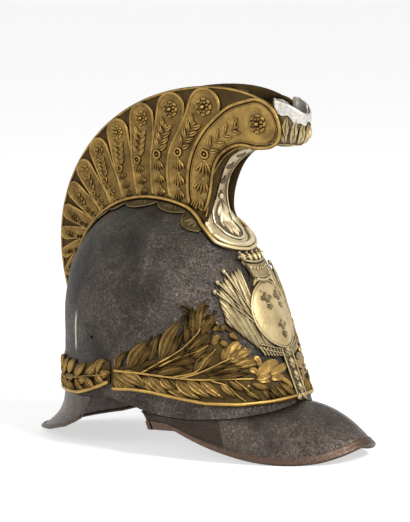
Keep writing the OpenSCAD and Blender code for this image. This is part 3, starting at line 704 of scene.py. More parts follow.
def gadroon_ornament(work, i):
    """A rosette, a laurel sprig that grows from a small disc, and three husks that hang under it."""
    top, disc, base = axis_of(i)
    lift = 1.6 if i else 2.0
    work.rosette(*top, 0.56*gadroon_head(i)[1] if i else 9.6, lift, 8 if i < 5 else 6)
    sprig(work, i, disc, top, lift)
    ring = clip(0.08*np.linalg.norm(top - disc), 1.4, 3.6)
    work.hoop(*disc, ring, 0.32*ring, lift + 0.9)
    work.boss(*disc, 0.42*ring, 2.0, lift)
    husks(work, i, disc, base, lift)


def crest_plate():
    raised = {}

    def where(u, v):
        flat = crest_sheet_points(u, v)
        raised["plate"] = gadroon_relief(flat)
        edge = ease((v - 0.975)/0.02)
        return on_crest(flat, raised["plate"]*(1 - edge) + 0.4*edge)

    # Relief for the gilding, lowest where a gadroon tucks under the border of the one before, which the
    # gilding paints as a shadow.
    def shine(u, v):
        return 0.12 + 0.5*raised["plate"]/GADROON_HIGH

    work = Embossing(crest_face, 0.0, woven("crest_plate_left", 300, 72, where, shine, BRASS_T,
                                            outward=False))
    for i in range(GADROONS):
        border = visible_border(i)
        radius = mix(1.75, 1.05, i/GADROONS)
        rings = 44 if i else 90
        work.rod(border, radius, 1.3, rings=rings, sides=10)
        work.rod(moved_in(border, 1.9*radius)[1:-1], 0.32*radius, 1.6, rings=rings, sides=6)
        gadroon_ornament(work, i)
    work.rod(moved_in(crest_edge(np.linspace(206, -58, 160)), 1.35), 1.1, 0.3, rings=200)
    work.rod(moved_in(throat_edge(np.linspace(0.05, 0.97, 60)), -1.3), 1.0, 0.6, rings=90)
    return work.join("crest_plate_left")


# Mask: the fan on the brow, the strip up the neck and the roof of the throat

def fan_lip(s, e):
    x = (FAN_HALF_W - 1.6*e)*s
    return over(x, lookup(np.abs(x), FAN_LINE) + e, BRASS_LIFT)


def neck_strip(s, k):
    f = THROAT_REACH + THROAT_R*cos(180 - k)
    z = THROAT_Z + THROAT_R*sin(180 - k)
    crown = 2.2*(1 - s*s)
    return at((crest_x(f, z) - BRASS_LIFT)*s, f + crown*cos(k), z - crown*sin(k))


def fan_point(s, v):
    low, high = fan_lip(s, 1.8), neck_strip(s, 0.0*s)
    knee = at(16*s, mix(40.5, 37.0, s*s), low[..., 2] + mix(13, 8, s*s))
    v = np.asarray(v)[..., None]
    return clear_of_skull((1 - v)**2*low + 2*v*(1 - v)*knee + v*v*high, BRASS_LIFT)


def clear_of_skull(p, d):
    """The points themselves, or the skull's surface where they are below it."""
    reach, z = MIDDLE_REACH - p[..., 1], p[..., 2]
    a = np.degrees(np.arctan2(z - HUB_Z, reach - HUB_REACH))
    hidden = np.hypot(reach - HUB_REACH, z - HUB_Z) < ray(p[..., 0], a, d)
    return np.where(hidden[..., None], over(p[..., 0], a, d), p)


def mask_point(s, w):
    """w runs from the lip (0) up the fan (1) and the neck (2) to the cup (3)."""
    s, w = (np.array(v, float) for v in np.broadcast_arrays(s, w))
    k = clip(w - 2)
    f = mix(THROAT_REACH, CREST_FRONT - 8, k)
    z = mix(THROAT_Z + THROAT_R, HEAD_Z - HEAD_R + 2.5, k) - 2.2*(1 - s*s)*(1 - k)
    roof = at((crest_x(f, z) - BRASS_LIFT)*s, f, z)
    low = np.where((w < 1)[..., None], fan_point(s, clip(w)), neck_strip(s, 90*clip(w - 1)))
    return np.where((w > 2)[..., None], roof, low)


mask_face = Skin(mask_point, hand=-1, step_p=0.02, step_q=0.02)
dome_face = Skin(lambda a, x: over(x, a, 0.0))
FAN_LIP_SHARE = 0.04


def crest_mask():
    def up_mask(v):
        return 3*(v - FAN_LIP_SHARE)/(1 - FAN_LIP_SHARE)

    def where(u, v):
        lip = fan_lip(2*u - 1, mix(-1.3, 1.8, clip(v/FAN_LIP_SHARE)))
        return np.where((v < FAN_LIP_SHARE)[:, None], lip, mask_point(2*u - 1, up_mask(v)))

    def ground(u, v):
        """Dark behind the flutes, inside their oval border, as painted shade between them."""
        inside = ((2*u - 1)/0.86)**2 + ((up_mask(v) - 0.56)/0.42)**2
        return mix(0.22, 0.62, ease((inside - 0.95)/0.1))

    work = Embossing(mask_face, 0.0, woven("crest_mask_shell", 48, 150, where, ground, BRASS_T))
    for way in (-1, 1):
        def cheek(u, v, way=way):
            """Between the side of the fan and the front edge of the side plate."""
            return mix(mask_point(way + 0*v, v), on_crest(throat_edge(0.2*v), 0.3, way), u[:, None])

        work.pieces.append(woven("mask_cheek", 4, 24, cheek, 0.6, BRASS_T, outward=way > 0))
    for n, reach in zip(range(-3, 4), (0.62, 0.74, 0.79, 0.80, 0.79, 0.74, 0.62)):
        flute = [(1.02*reach*r*sin(20*n), 1 - reach*r*cos(20*n)) for r in (0.16, 0.6, 1.0)]
        # A base of 0.1 gives each flute a dark outline of painted shade.
        work.leaf(flute, 8.0 - 0.7*abs(n), 2.4, 0.1, rib=-0.4, belly=1.35, blunt=0.6, base=0.1)
    work.boss(0, 1.02, 3.4, 2.2, 0.3, 12, 8)
    border = [(-0.86, 1.25), (-0.90, 0.9), (-0.84, 0.52), (-0.58, 0.26), (0, 0.17), (0.58, 0.26),
              (0.84, 0.52), (0.90, 0.9), (0.86, 1.25)]
    work.rod(border, 1.1, 0.5, rings=90, relief=1.2)
    lip = [(34.9, 0), (35.4, 8), (37.4, 18), (41.0, 24.5), (46, 28)]
    work.skin = dome_face
    work.rod([(a, -x) for a, x in lip[:0:-1]] + lip, 3.0, 2.4, rings=120, sides=12)
    work.skin = mask_face
    for way in (-1, 1):
        work.rod([(0.84*way, w) for w in (1.2, 1.6, 2.0, 2.5, 2.9)], 0.8, 0.4, rings=60)
    for n, w in enumerate((2.2, 1.95, 1.7, 1.48, 1.27, 1.08)):
        foot = w - (10.5 - 0.4*n)/80
        work.boss(0, w, 1.2, 1.5, 0.3, 8, relief=0.4)
        for spread in (-1, -0.45, 0.45, 1):
            reach = 0.30*spread
            work.leaf([(0, w - 0.01), (reach*0.8, mix(w, foot, 0.5)), (reach, foot + 0.03*abs(spread))],
                      3.0, 1.3, 0.2, rib=-0.3, fine=False, relief=0.2)
    return work.join("crest_mask_shell")


# Cup at the front of the crest

CUP_MID = CREST_FRONT - 7
CUP_REACH = 19.0
CUP_FLOOR = HEAD_Z - HEAD_R - 1
CUP_H = 31.0
CUP_LINE = [(0, 0.3), (0.04, 0.62), (0.14, 0.82), (0.3, 0.94), (0.6, 0.98), (1, 1)]
LINING_T = 0.7
FOLD_T = 0.5


def cup_point(t, k, inset=0.0):
    size = lookup(k, CUP_LINE)
    z = mix(CUP_FLOOR + inset, CUP_FLOOR + CUP_H + 13*np.abs(cos(t))**2, k)
    return at((CREST_HALF_W - BRASS_LIFT - inset)*size*cos(t),
              CUP_MID + (CUP_REACH + 7 - inset)*size*sin(t), z)


cup_face = Skin(lambda t, k: cup_point(t, clip(k, 0.02, 1.0)), step_q=0.015)


def crest_cup():
    shell = woven("crest_cup_shell", 60, 30, lambda u, v: cup_point(180*(1 - u), v*0.97), 0.1, BRASS_T)
    work = Embossing(cup_face, 0.0, shell)
    for n in range(9):
        t = mix(8, 172, n/8)
        sway = 6*cos(t)
        work.leaf([(t - sway - 3, 0.08), (t + 2, 0.36), (t + sway*0.5 - 1, 0.72)], 6.4, 2.2, 0.3,
                  rim=0.3, rib=-0.5, belly=0.8, blunt=0.6, cup=0.1, base=0.1)
        for way in (-1, 1):
            work.leaf([(t, 0.22), (t + way*4, 0.38), (t + way*7, 0.56)], 3.2, 1.9, 0.5, fine=False)
    work.rod([(t, 0.07) for t in range(6, 175, 14)], 0.9, 0.2, rings=70)
    return work.join("crest_cup_shell")


def cup_lining():
    """Thin silvered sheet, crumpled, with a torn rim that is folded out over the cup's edge."""
    def where(u, v):
        t = 180*(1 - u)
        tear = 1.6*np.abs(sin(5*t + 40))*sin(2.6*t) - 1.2*hump(t, 118, 7) - 2.4*hump(t, 58, 5)
        tear = clip(tear - 1.2*hump(t, 88, 4), -4, 1.8)*v**3
        crumple = clip(0.5*sin(9*t + 240*v)*v + 0.35*sin(23*t - 300*v)*v, -0.5, 0.25)
        return cup_point(t, v, BRASS_LIFT + 0.3 - crumple) + tear[:, None]*[0, 0, 1]

    def fold(u, v):
        t = mix(175, 5, u)
        torn = 0.68 + 0.05*sin(5*t + 20) + 0.035*sin(13*t)
        lift = (0.8 + 0.5*sin(11*t)*(1 - v))*ease((1 - v)/0.12) + 0.3
        return cup_point(t, mix(torn, 0.985, v), -lift)

    return Embossing(cup_face, 0.0, woven("cup_silver", 110, 34, where, 0.7, LINING_T),
                     woven("cup_silver_fold", 110, 10, fold, 0.7, FOLD_T)).join("cup_silver")


# Channel, bead and scalloped foot of the crest

TROUGH_T = 0.9
FOOT_T = 0.9


def crest_channel():
    def where(u, v):
        a = mix(150, COMB_TO + 1, v)
        rim, foot = crest_edge(edge_turn(a)), foot_point(a)
        across = mix(-1, 1, u)
        deep = 12.0*mix(1.05, 0.45, np.abs(across)**6)
        return on_crest(rim + deep[:, None]*unit(foot - rim), -BRASS_LIFT, across)

    return woven("crest_trough", 16, 90, where, 0.3, TROUGH_T)


def crest_bead():
    work = Embossing(dome_face, BEAD_LIFT)
    half = [(a, float(lookup(a, FOOT_LINE)) + BEAD_R + 3*GAP) for a in range(176, 51, -4)]
    for share in (0.97, 0.88, 0.72, 0.5, 0.25):
        x = FAN_HALF_W*share
        half.append((float(lookup(x, FAN_LINE)), x + 1.2))
    path = half + [(32.4, 0.0)] + [(a, -x) for a, x in half[::-1]]
    work.rod(path, BEAD_R, rings=260, sides=10, relief=1.0)
    return work.join("crest_bead_roll")


# Scallops by the angles at which they start and end, and their half width
SCALLOPS = [(50, 65.5, 42.5), (65, 84, 35), (83.5, 104.5, 35.5), (104, 116, 29.5), (115.5, 127, 25.5),
            (126.5, 138, 20), (137.5, 150, 15)]


def scallop_edge(a):
    """Half width of the foot's flange at the angle a."""
    width = lookup(a, FOOT_LINE) + 3.2
    for start, end, peak in SCALLOPS:
        k = (a - start)/(end - start)
        lobe = np.where((k > 0) & (k < 1), sin(180*clip(k))**0.45, 0)
        width = np.maximum(width, mix(lookup(a, FOOT_LINE) + 2.5, peak, lobe))
    return width


def crest_foot():
    def where(u, v):
        a = mix(151, 51, u)
        x = mix(scallop_edge(a), lookup(a, FOOT_LINE) - 2, v)
        curl = 0.9*hump(v, 0, 0.08) - 0.5*hump(v, 0.16, 0.07)
        return over(x, a, BRASS_LIFT + 0.1 + curl)

    def edge_shine(u, v):
        return 0.3 + 0.6*hump(v, 0, 0.12)

    flange = woven("crest_flange_left", 260, 16, where, edge_shine, FOOT_T, outward=False)
    work = Embossing(dome_face, BRASS_LIFT, flange)
    for start, end, peak in SCALLOPS[:3]:
        middle = (start + end)/2
        root = float(lookup(middle, FOOT_LINE)) + 4
        for spread in (-0.5, 0, 0.5):
            tip = (middle + spread*(end - start)*0.42, peak - 4 - 3*abs(spread))
            work.leaf([(middle + spread*2, root), tip], 3.4, 0.7, 0.2, fine=False, cup=0.4)
    return work.join("crest_flange_left")


# Skull, visor and neck guard

dents = np.random.default_rng(11)
DENT_PLACES = [(dents.uniform(0, 360), dents.uniform(70, 215), dents.uniform(0.15, 0.5),
                dents.uniform(6, 16)) for _ in range(46)]
SIDE_HOLE_R = 1.5
SIDE_HOLE_Z = 105.5
SIDE_HOLE_TURNS = (-21.8, 201.8)
DRILL_L = 12.0
VISOR_FROM = 6.0
VISOR_REACH = 198.0
VISOR_HALF_W = 95.0
VISOR_T = 1.4
BINDING_T = 0.9
FLANGE_H = 9.0
RIM_LIFT = BINDING_T + VISOR_T/2 + 1.2*GAP
CREASE_T = 143.0
SHEET_SHARE = 0.85
FLANGE_SHARE = 0.875
GUARD_FROM = 19.5
GUARD_REACH = 153.0
GUARD_HALF_W = 92.5
GUARD_LINE = [(19.5, 42), (21, 34), (24, 27), (28, 22), (35, 15.5), (49, 8.5), (69, 4), (90, 1.2)]


def skull_steel():
    def where(u, v):
        t = -360*u
        z = mix(border_z(t), TOP_Z, sin(90*v))
        depth = 0.12 + 0.1*sin(3*t + 60)*sin(2.3*z) + 0.08*sin(5*t - 2*z)
        for place_t, place_z, deep, wide in DENT_PLACES:
            off = (np.abs((t - place_t + 180) % 360 - 180))*1.9
            depth = depth + deep*np.exp(-(off/wide)**2 - ((z - place_z)/wide)**2)
        return wall(t, z, -depth*ease((z - border_z(t))/12)*ease((TOP_Z - z)/6))

    skull = woven("skull_steel", 200, 84, where, 0.5, STEEL_T, seam=True)
    for t in SIDE_HOLE_TURNS:
        up = wall(t, SIDE_HOLE_Z + 1) - wall(t, SIDE_HOLE_Z - 1)
        out = Vector(np.cross(up, wall(t + 1, SIDE_HOLE_Z) - wall(t - 1, SIDE_HOLE_Z)))
        deselect()
        bpy.ops.mesh.primitive_cylinder_add(vertices=24, radius=SIDE_HOLE_R*MM, depth=DRILL_L*MM,
                                            location=wall(t, SIDE_HOLE_Z)*MM,
                                            rotation=out.to_track_quat("Z", "Y").to_euler())
        drill = bpy.context.object
        apply_modifier(skull, "BOOLEAN", object=drill, operation="DIFFERENCE", solver="EXACT")
        bpy.data.objects.remove(drill)
    return skull


def sheet_with_flange(skin, t, v):
    """The sheet itself, and beyond its root the flange that stands up inside the skull."""
    up = clip((v - FLANGE_SHARE)/(1 - FLANGE_SHARE))
    flange = wall(t, border_z(t) + mix(-0.45, FLANGE_H, up), -STEEL_T - 2*GAP)
    return np.where((v > SHEET_SHARE + 0.01)[:, None], flange, skin)


def visor_edge(t):
    k = turn(t)
    middle = 15.5*sin(90*clip((k - 47)/43))**2.3
    wings = np.minimum(26.5, 0.0235*np.maximum(47 - k, 0)**2)
    x = VISOR_HALF_W*np.sign(cos(t))*np.abs(cos(t))**1.1
    return at(x, VISOR_REACH*sin(t), np.where(k > 47, middle, wings) + RIM_LIFT)


def visor_skin(t, k):
    root = wall(t, border_z(t), 0.6) - vec(0, 0, 0.6)
    tip = visor_edge(t)
    p = mix(root, tip, np.asarray(k)[..., None])
    p[..., 2] = root[..., 2] - (root[..., 2] - tip[..., 2])*k**(1.5 + 0.7*sin(t)**4)
    return p


def visor_steel():
    def where(u, v):
        t = mix(VISOR_FROM, 180 - VISOR_FROM, u)
        k = clip(1 - v/SHEET_SHARE)
        skin = visor_skin(t, k)
        bent = 0.35*sin(5*t + 200*k) + 0.3*sin(9*t - 260*k)
        for deep, at_t, wide_t, at_k, wide_k in ((1.1, 118, 6, 0.55, 0.2), (0.9, 96, 5, 0.72, 0.16),
                                                 (0.8, 66, 7, 0.5, 0.2)):
            bent = bent + deep*hump(t, at_t, wide_t)*hump(k, at_k, wide_k)
        jag = CREASE_T + 8*k + 0.9*sin(700*k) + 0.4*sin(2300*k + 40)
        bent = bent + 2.4*ease((t - jag)/1.6)*mix(1, 0.45, ease((t - jag - 4)/14))
        skin[:, 2] -= bent*ease((0.93 - k)/0.18)*ease((k - 0.02)/0.15)
        return sheet_with_flange(skin, t, v)

    return woven("visor_sheet", 240, 80, where, 0.5, VISOR_T, outward=False)


def guard_edge(k):
    near = np.where(k > 90, 180 - k, k)
    return at(-GUARD_HALF_W*cos(k), -GUARD_REACH*sin(k), lookup(near, GUARD_LINE) + RIM_LIFT)


def guard_root(k):
    return 180 + mix(GUARD_FROM + 4, 176 - GUARD_FROM, (k - GUARD_FROM)/(180 - 2*GUARD_FROM))


def guard_skin(k, v):
    """v is 1 at the guard's edge and 0 under the skull's border."""
    t = guard_root(k)
    root, tip = wall(t, border_z(t), 0.6) - vec(0, 0, 0.6), guard_edge(k)
    p = mix(root, tip, np.asarray(v)[..., None]**2.4)
    p[..., 2] = mix(root[..., 2], tip[..., 2], v)
    return p


def neck_guard():
    def where(u, v):
        k = mix(GUARD_FROM, 180 - GUARD_FROM, u)
        share = clip(1 - v/SHEET_SHARE)
        skin = guard_skin(k, share)
        skin[:, 2] -= (0.3*sin(7*k + 90*share) + 0.25*sin(13*k))*ease((0.95 - share)/0.2)*ease(share/0.1)
        return sheet_with_flange(skin, guard_root(k), v)

    return woven("neck_guard_sheet", 150, 48, where, 0.5, VISOR_T, outward=False)


def strip(name, turns, edge, skin, width):
    """A strip folded round an edge; its profile gives the height and inward reach of its corners."""
    inner = VISOR_T/2 + 1.2*GAP
    out = inner + BINDING_T
    nose = [(out*cos(a), -out*sin(a)) for a in range(0, 181, 20)]
    profile = np.array([(out - 0.25, width), (out + 0.05, width*0.86), (out - 0.15, width*0.72),
                        (out - 0.1, width*0.3), *nose, (-out + 0.1, width*0.3), (-out, width*0.8),
                        (-out + 0.2, width), (-inner, width), (-inner, -1.5*GAP), (inner, -1.5*GAP),
                        (inner, width)])
    corners = len(profile)
    tips = edge(turns)
    inward = unit(skin(turns, np.full(len(turns), 0.8)) - tips)
    up = unit(np.cross(inward, unit(np.gradient(tips, axis=0))))
    up = up*np.sign(up[:, 2:3])
    middle = tips - up*VISOR_T/2

    def where(u, v):
        i = np.round(u*(len(turns) - 1)).astype(int)
        j = np.round(v*corners).astype(int) % corners
        nick = 0.12*sin(3100*u)*sin(1700*u)
        return middle[i] + up[i]*profile[j, 0:1] + inward[i]*(profile[j, 1:2] + nick[:, None])

    piece = woven(name, len(turns) - 1, corners, where, 0.6, seam=True)
    edit(piece, lambda: bpy.ops.mesh.fill_holes(sides=0),
         lambda: bpy.ops.mesh.normals_make_consistent(inside=False))
    return piece


# Bands: leaves on a stamped strip with a rolled lower edge. Lines pair a turn with a height above the brow

BAND_SEAM = 9.0
side_top = above_brow([(-9, 42), (2, 49), (14, 60), (21, 68), (31, 82), (40, 91), (46.6, 97), (49, 85),
                       (52, 70), (60, 55), (65, 43), (72, 39), (83, 38), (90, 41)])
side_low = above_brow([(-9, 11), (2, 12.5), (11, 11.5), (19, 8.5), (28, 5), (34, 2.5), (49, 1), (64, 2),
                       (81, 4), (90, 4)])
rear_top = above_brow([(-90, 31), (-40, 32.5), (-30, 35), (-22, 39), (-10.5, 41)])
rear_low = above_brow([(-90, -2), (-44, 0), (-32, 1.5), (-24, 6), (-17, 11), (-10.5, 17)])
wall_face = Skin(wall)

# Stems of the side band as turns and heights above the ground, on the wearer's right, and their radius
STEMS = [([(188, 78), (174, 78), (160, 76), (148, 74), (134, 74), (119, 73)], 1.5),
         ([(173, 78), (164, 88), (152, 101), (143, 114), (140, 120)], 1.3),
         ([(164, 85), (154, 94), (145, 99), (138, 105)], 1.1),
         ([(158, 76), (147, 81), (141, 92), (135, 101)], 1.1),
         ([(155, 75), (146, 80), (134, 89), (128, 93)], 1.2),
         ([(141, 73), (134, 68), (131, 60), (127, 53)], 0.8), ([(130, 73), (125, 63), (121, 55)], 0.8)]
BERRIES = [(150, 60), (156, 63), (146, 62), (169, 62), (139, 60), (124, 67), (128, 92), (120, 100),
           (131, 124)]
# Leaves of the side band: turn and height of the root, of the bend and of the tip, and the width
UPPER_LEAVES = [(186, 78, 186, 88, 178, 98, 9), (180, 81, 176, 95, 166, 109, 14),
    (174, 84, 170, 95, 165, 113, 7), (168, 89, 166, 103, 160, 116, 9), (163, 90, 159, 109, 148, 128, 14),
    (160, 92, 154, 105, 148, 120, 7), (154, 100, 151, 110, 148, 121, 5), (149, 104, 147, 118, 145, 134, 7),
    (145, 110, 143, 127, 142, 140, 8), (142, 114, 139, 131, 134, 145, 12),
    (141, 113, 135, 124, 130, 136, 9)]
INNER_LEAVES = [(172, 82, 166, 86, 161, 88, 6), (158, 92, 150, 101, 143, 106, 8),
    (152, 96, 144, 108, 134, 116, 10), (160, 88, 152, 96, 144, 99, 7), (173, 77, 169, 84, 161, 84, 7),
    (166, 78, 158, 84, 149, 84, 9), (160, 87, 150, 92, 141, 92, 8), (156, 94, 149, 103, 141, 117, 6),
    (150, 92, 144, 99, 136, 107, 10), (148, 81, 143, 91, 135, 100, 12), (147, 80, 138, 84, 128, 88, 9),
    (143, 78, 134, 82, 122, 84, 10), (144, 75, 132, 78, 121, 78, 8)]
LOWER_LEAVES = [(188, 76, 184, 70, 173, 61, 12), (188, 71, 185, 65, 180, 61, 8),
    (184, 78, 177, 75, 171, 64, 13), (175, 75, 170, 69, 165, 60, 11), (170, 76, 166, 68, 161, 58, 12),
    (164, 75, 162, 69, 157, 65, 9), (163, 75, 159, 65, 152, 57, 12), (157, 74, 154, 66, 147, 56, 12),
    (152, 74, 148, 66, 142, 57, 11), (146, 74, 143, 66, 136, 56, 11), (137, 72, 135, 65, 131, 57, 9),
    (133, 73, 130, 68, 126, 62, 7), (128, 71, 126, 64, 121, 59, 7), (127, 63, 123, 60, 119, 53, 7),
    (122, 69, 118, 66, 112, 64, 8), (117, 67, 116, 60, 115, 53, 6), (113, 65, 111, 59, 108, 54, 5),
    (114, 61, 113, 56, 111, 52, 4), (109, 66, 106, 59, 103, 53, 6), (106, 68, 101, 60, 95, 53, 8)]
FLOWER_LEAVES = [(133, 90, 131, 98, 126, 102, 9), (132, 91, 126, 101, 121, 106, 12),
    (130, 90, 124, 95, 117, 99, 11), (128, 86, 121, 89, 115, 86, 11), (136, 105, 134, 112, 130, 111, 7),
    (132, 108, 130, 106, 127, 101, 7), (134, 117, 132, 121, 129, 116, 5),
    (130, 117, 128, 122, 125, 116, 6), (126, 114, 124, 113, 122, 108, 7)]
FRONT_LEAVES = [(118, 74, 111, 84, 101, 86, 11), (110, 76, 103, 79, 95, 83, 9),
    (110, 72, 106, 72, 100, 73, 7), (119, 72, 114, 74, 109, 75, 5), (118, 71, 115, 71, 111, 70, 5),
    (121, 82, 118, 81, 117, 75, 7), (116, 93, 114, 90, 115, 83, 7), (104, 72, 100, 68, 97, 61, 5)]


def band(name, start, end, margin, low, high, share, rings):
    """The stamped strip of a band, up to a share of its height, and the roll along its lower edge."""
    def where(u, v):
        t = mix(end, start, u)
        z = mix(low(t), high(t), share*v)
        return wall(t, z, BRASS_LIFT + 0.5*sin(40*t + 300*v)*sin(180*v))

    work = Embossing(wall_face, BRASS_LIFT, woven(name, 200, 20, where, 0.08, BRASS_T))
    t = np.linspace(start + margin, end - margin, 60)
    work.rod(list(zip(t, low(t) + 2.1)), 1.9, 0.9, rings=rings, sides=10, relief=1.0)
    return work


def laurel(work, row, high, over=0.0, wide=1.0, **shape):
    """A pointed leaf that bellies out past its bend and turns back; over is its lift on those below it."""
    shape = {"cup": 0.85, "rim": 0.9, "veins": 1, "blunt": 1.0, "base": 0.12, **shape}
    root, bend, tip = np.array(row[:6], float).reshape(3, 2)
    middle = (root + tip)/2
    bend = mix(bend, middle, 0.35)
    belly = bend - middle
    line = [root, mix(root, bend, 0.5), bend, mix(bend, tip, 0.55) + 0.35*belly, tip - 0.15*belly]
    work.leaf(line, wide*row[6], high, over, **shape)


def side_band():
    """The band of the wearer's right side."""
    work = band("side_band_strip", 90.4, 180 + BAND_SEAM, 0.4, side_low, side_top, 0.66, 220)
    for n, row in enumerate(UPPER_LEAVES + INNER_LEAVES):
        laurel(work, row, 2.3, 0.5*(n % 3), 0.84)
    for n, row in enumerate(LOWER_LEAVES):
        laurel(work, row, 1.9, 0.4*(n % 3), 0.92, cup=0.65, rim=0.75)
    for row in FLOWER_LEAVES:
        laurel(work, row, 2.7, cup=0.45, rim=0.6, blunt=0.55, base=0.2)
    for row in FRONT_LEAVES:
        laurel(work, row, 2.2, cup=0.2, rim=0.3, rib=-0.3, blunt=0.5, base=0.3)
    for stem, thick in STEMS:
        work.rod(stem, thick, 1.1, 0.6, rings=60, relief=1.0)
    for t, z in BERRIES:
        work.boss(t, z, 1.9, 2.4)
    for way in (-1, 1):
        for n in range(3):
            t, z = 140.5 - way*1.5, 116 + 8*n
            laurel(work, (t, z, t - way*3.5, z + 6, t - way*6.5, z + 5 + n, 4.2), 2.2, blunt=0.5)
    return work.join("side_band_leaves")


def rear_band():
    """Bundles of leaves and berries that run from both sides to the middle of the back."""
    work = band("rear_band_strip", 190.0, 350.0, 0.6, rear_low, rear_top, 0.86, 260)
    t = np.linspace(190.6, 349.4, 60)
    work.rod(list(zip(t, mix(rear_low(t), rear_top(t), 0.45) + 1.5*sin(9*t))), 0.9, 1.4, rings=160)
    leaves = np.random.default_rng(5)
    for way in (-1, 1):
        for n in range(9):
            t0 = 270 + way*(4 + 8.5*n)
            low, high = rear_low(t0), rear_top(t0)
            for share, reach, wide in ((1.0, 8, 9.0), (0.62, 11, 7.5), (0.16, 8.5, 7.5)):
                root = (t0 + leaves.uniform(-1.5, 1.5), mix(low, high, 0.45) + leaves.uniform(-3, 3))
                tip = (t0 + way*min(reach*leaves.uniform(0.7, 1.3), 77 - 8.5*n),
                       mix(low, high, share) + leaves.uniform(-3, 2))
                bend = (mix(root[0], tip[0], leaves.uniform(0.15, 0.6)),
                        mix(root[1], tip[1], leaves.uniform(0.3, 0.8)))
                row = (*root, *bend, *tip, wide*leaves.uniform(0.8, 1.15))
                laurel(work, row, 2.3, leaves.uniform(0, 1.4), base=0.4, cup=0.55, rim=0.7)
            if n % 2:
                work.boss(t0, mix(low, high, leaves.uniform(0.25, 0.8)), 1.8, 2.0, 0.8)
    work.rosette(270, (rear_low(270) + rear_top(270))/2, 11, 0.6)
    return work.join("rear_band_leaves")


# Front plate: flags and lances behind an oval shield, a crown above it and a strap under it

PLATE_LOW_Z = 90.5
PLATE_TOP_Z = 180.0
PLATE_LINE = [(0, 15), (0.08, 20), (0.25, 28), (0.42, 32), (0.56, 35.5), (0.68, 27), (0.76, 14),
              (0.84, 10), (1, 10)]
STRAP_T = 1.6
STRAP_LOW_Z = 51.0
STRAP_TOP_Z = 98.0
STRAP_HALF_TURN = 5.6
SHIELD_Z = 126.5
SHIELD_HALF_W = 20.5
SHIELD_HALF_H = 33.0
CROWN_LOW_Z = 156.5
CROWN_BAND_H = 16.0
CROWN_BAND_T = 2.6


def both_sides(path):
    return [[(mix(90, t, way), z) for t, z in path] for way in (1, -1)]


def front_plate():
    def where(u, v):
        t = 90 + mix(1, -1, u)*(lookup(v, PLATE_LINE) - 2)
        return wall(t, mix(PLATE_LOW_Z, PLATE_TOP_Z, v), BRASS_LIFT + 0.1)

    def strap(u, v):
        t = 90 + mix(1, -1, u)*STRAP_HALF_TURN
        return wall(t, mix(STRAP_LOW_Z, STRAP_TOP_Z, v), BRASS_LIFT + 1.5)

    work = Embossing(wall_face, BRASS_LIFT, woven("front_plate_sheet", 60, 60, where, 0.05, BRASS_T))
    tops = [(108, 172), (114, 168), (120, 164), (124, 157), (126, 149), (126, 140), (124, 130)]
    feet = [(99, 99), (101, 94), (106, 92), (110, 96), (113, 102), (117, 109), (121, 118)]
    for n in range(13):
        k = n/12
        for path in both_sides([along(tops, k), mix(vec(106.5, 136), vec(124, 124), k), along(feet, k)]):
            work.leaf(path, 6.4, 2.0 + 0.6*(n % 2), cup=0.35, rim=0.5, rib=0.2, belly=0.95, blunt=0.35)
    for tip in [(119, 168), (125, 159), (128, 151)]:
        for path in both_sides([(103, 112), mix(vec(103, 112), vec(*tip), 0.5), tip]):
            work.rod(path, 0.8, 2.2, rings=40)
            work.boss(*path[-1], 2.0, 2.4, 0.6, stretch=1.4)
    for n in range(9):
        k = n/8
        start = mix(vec(111, 101), vec(93, 96), k)
        for path in both_sides([start, start + vec(-1.5 + k, -5), start + vec(-2.5 + k, -9 + 2*k)]):
            work.rod(path, 1.1, 0.8, 0.8, rings=14)
    for z in (98.5, 94.5):
        for path in both_sides([(110, z + 4), (102, z), (94, z - 3)]):
            work.rod(path, 0.7, 1.9, rings=30)
    work.pieces.append(woven("strap_sheet", 10, 40, strap, 0.3, STRAP_T))
    for path in both_sides([(95.6, STRAP_LOW_Z), (95.6, 75), (95.8, STRAP_TOP_Z)]):
        work.rod(path, 0.8, 1.7, rings=40)
    for z in (57, 68, 79, 90):
        for t, rise in ((94.4, 4), (85.6, 4), (92.6, 7.5), (87.4, 7.5), (90, 9)):
            work.leaf([(90, z), (mix(90, t, 0.4), z + rise/2), (t, z + rise)], 3.0, 1.9, 1.4)
        work.boss(90, z, 1.5, 1.9, 1.5)
    for path in [(91, 57), (88.5, 52), (84, 49)], [(93, 57), (95, 53), (97, 51)]:
        work.leaf(path, 5, 1.8, 1.5, rim=0.4, cup=0.3)
    return work.join("front_plate_flags")


def lily(work, t, z, size):
    """A heraldic lily on the shield, in shares of its size."""
    def spot(right, up):
        return t + right*size/1.66, z + up*size

    def petal(spots, width, high, **shape):
        # The low relief makes the gilding paint the raised lilies dark as shade.
        work.leaf([spot(*place) for place in spots], width*size, high, 4.4, relief=0.28, **shape)

    petal([(0, -0.1), (0, 0.25), (0, 0.62)], 0.36, 2.2, belly=1.1)
    petal([(0, -0.12), (0, -0.35), (0, -0.55)], 0.24, 2.0, fine=False)
    for way in (-1, 1):
        petal([(0.06*way, -0.1), (0.2*way, 0.22), (0.4*way, 0.3), (0.45*way, 0.08)], 0.22, 2.1, fine=False)
        petal([(0, -0.16), (0.16*way, -0.3), (0.3*way, -0.34)], 0.16, 1.9, fine=False)
    work.rod([spot(-0.2, -0.12), spot(0.2, -0.12)], 0.07*size, 5.1, rings=10)


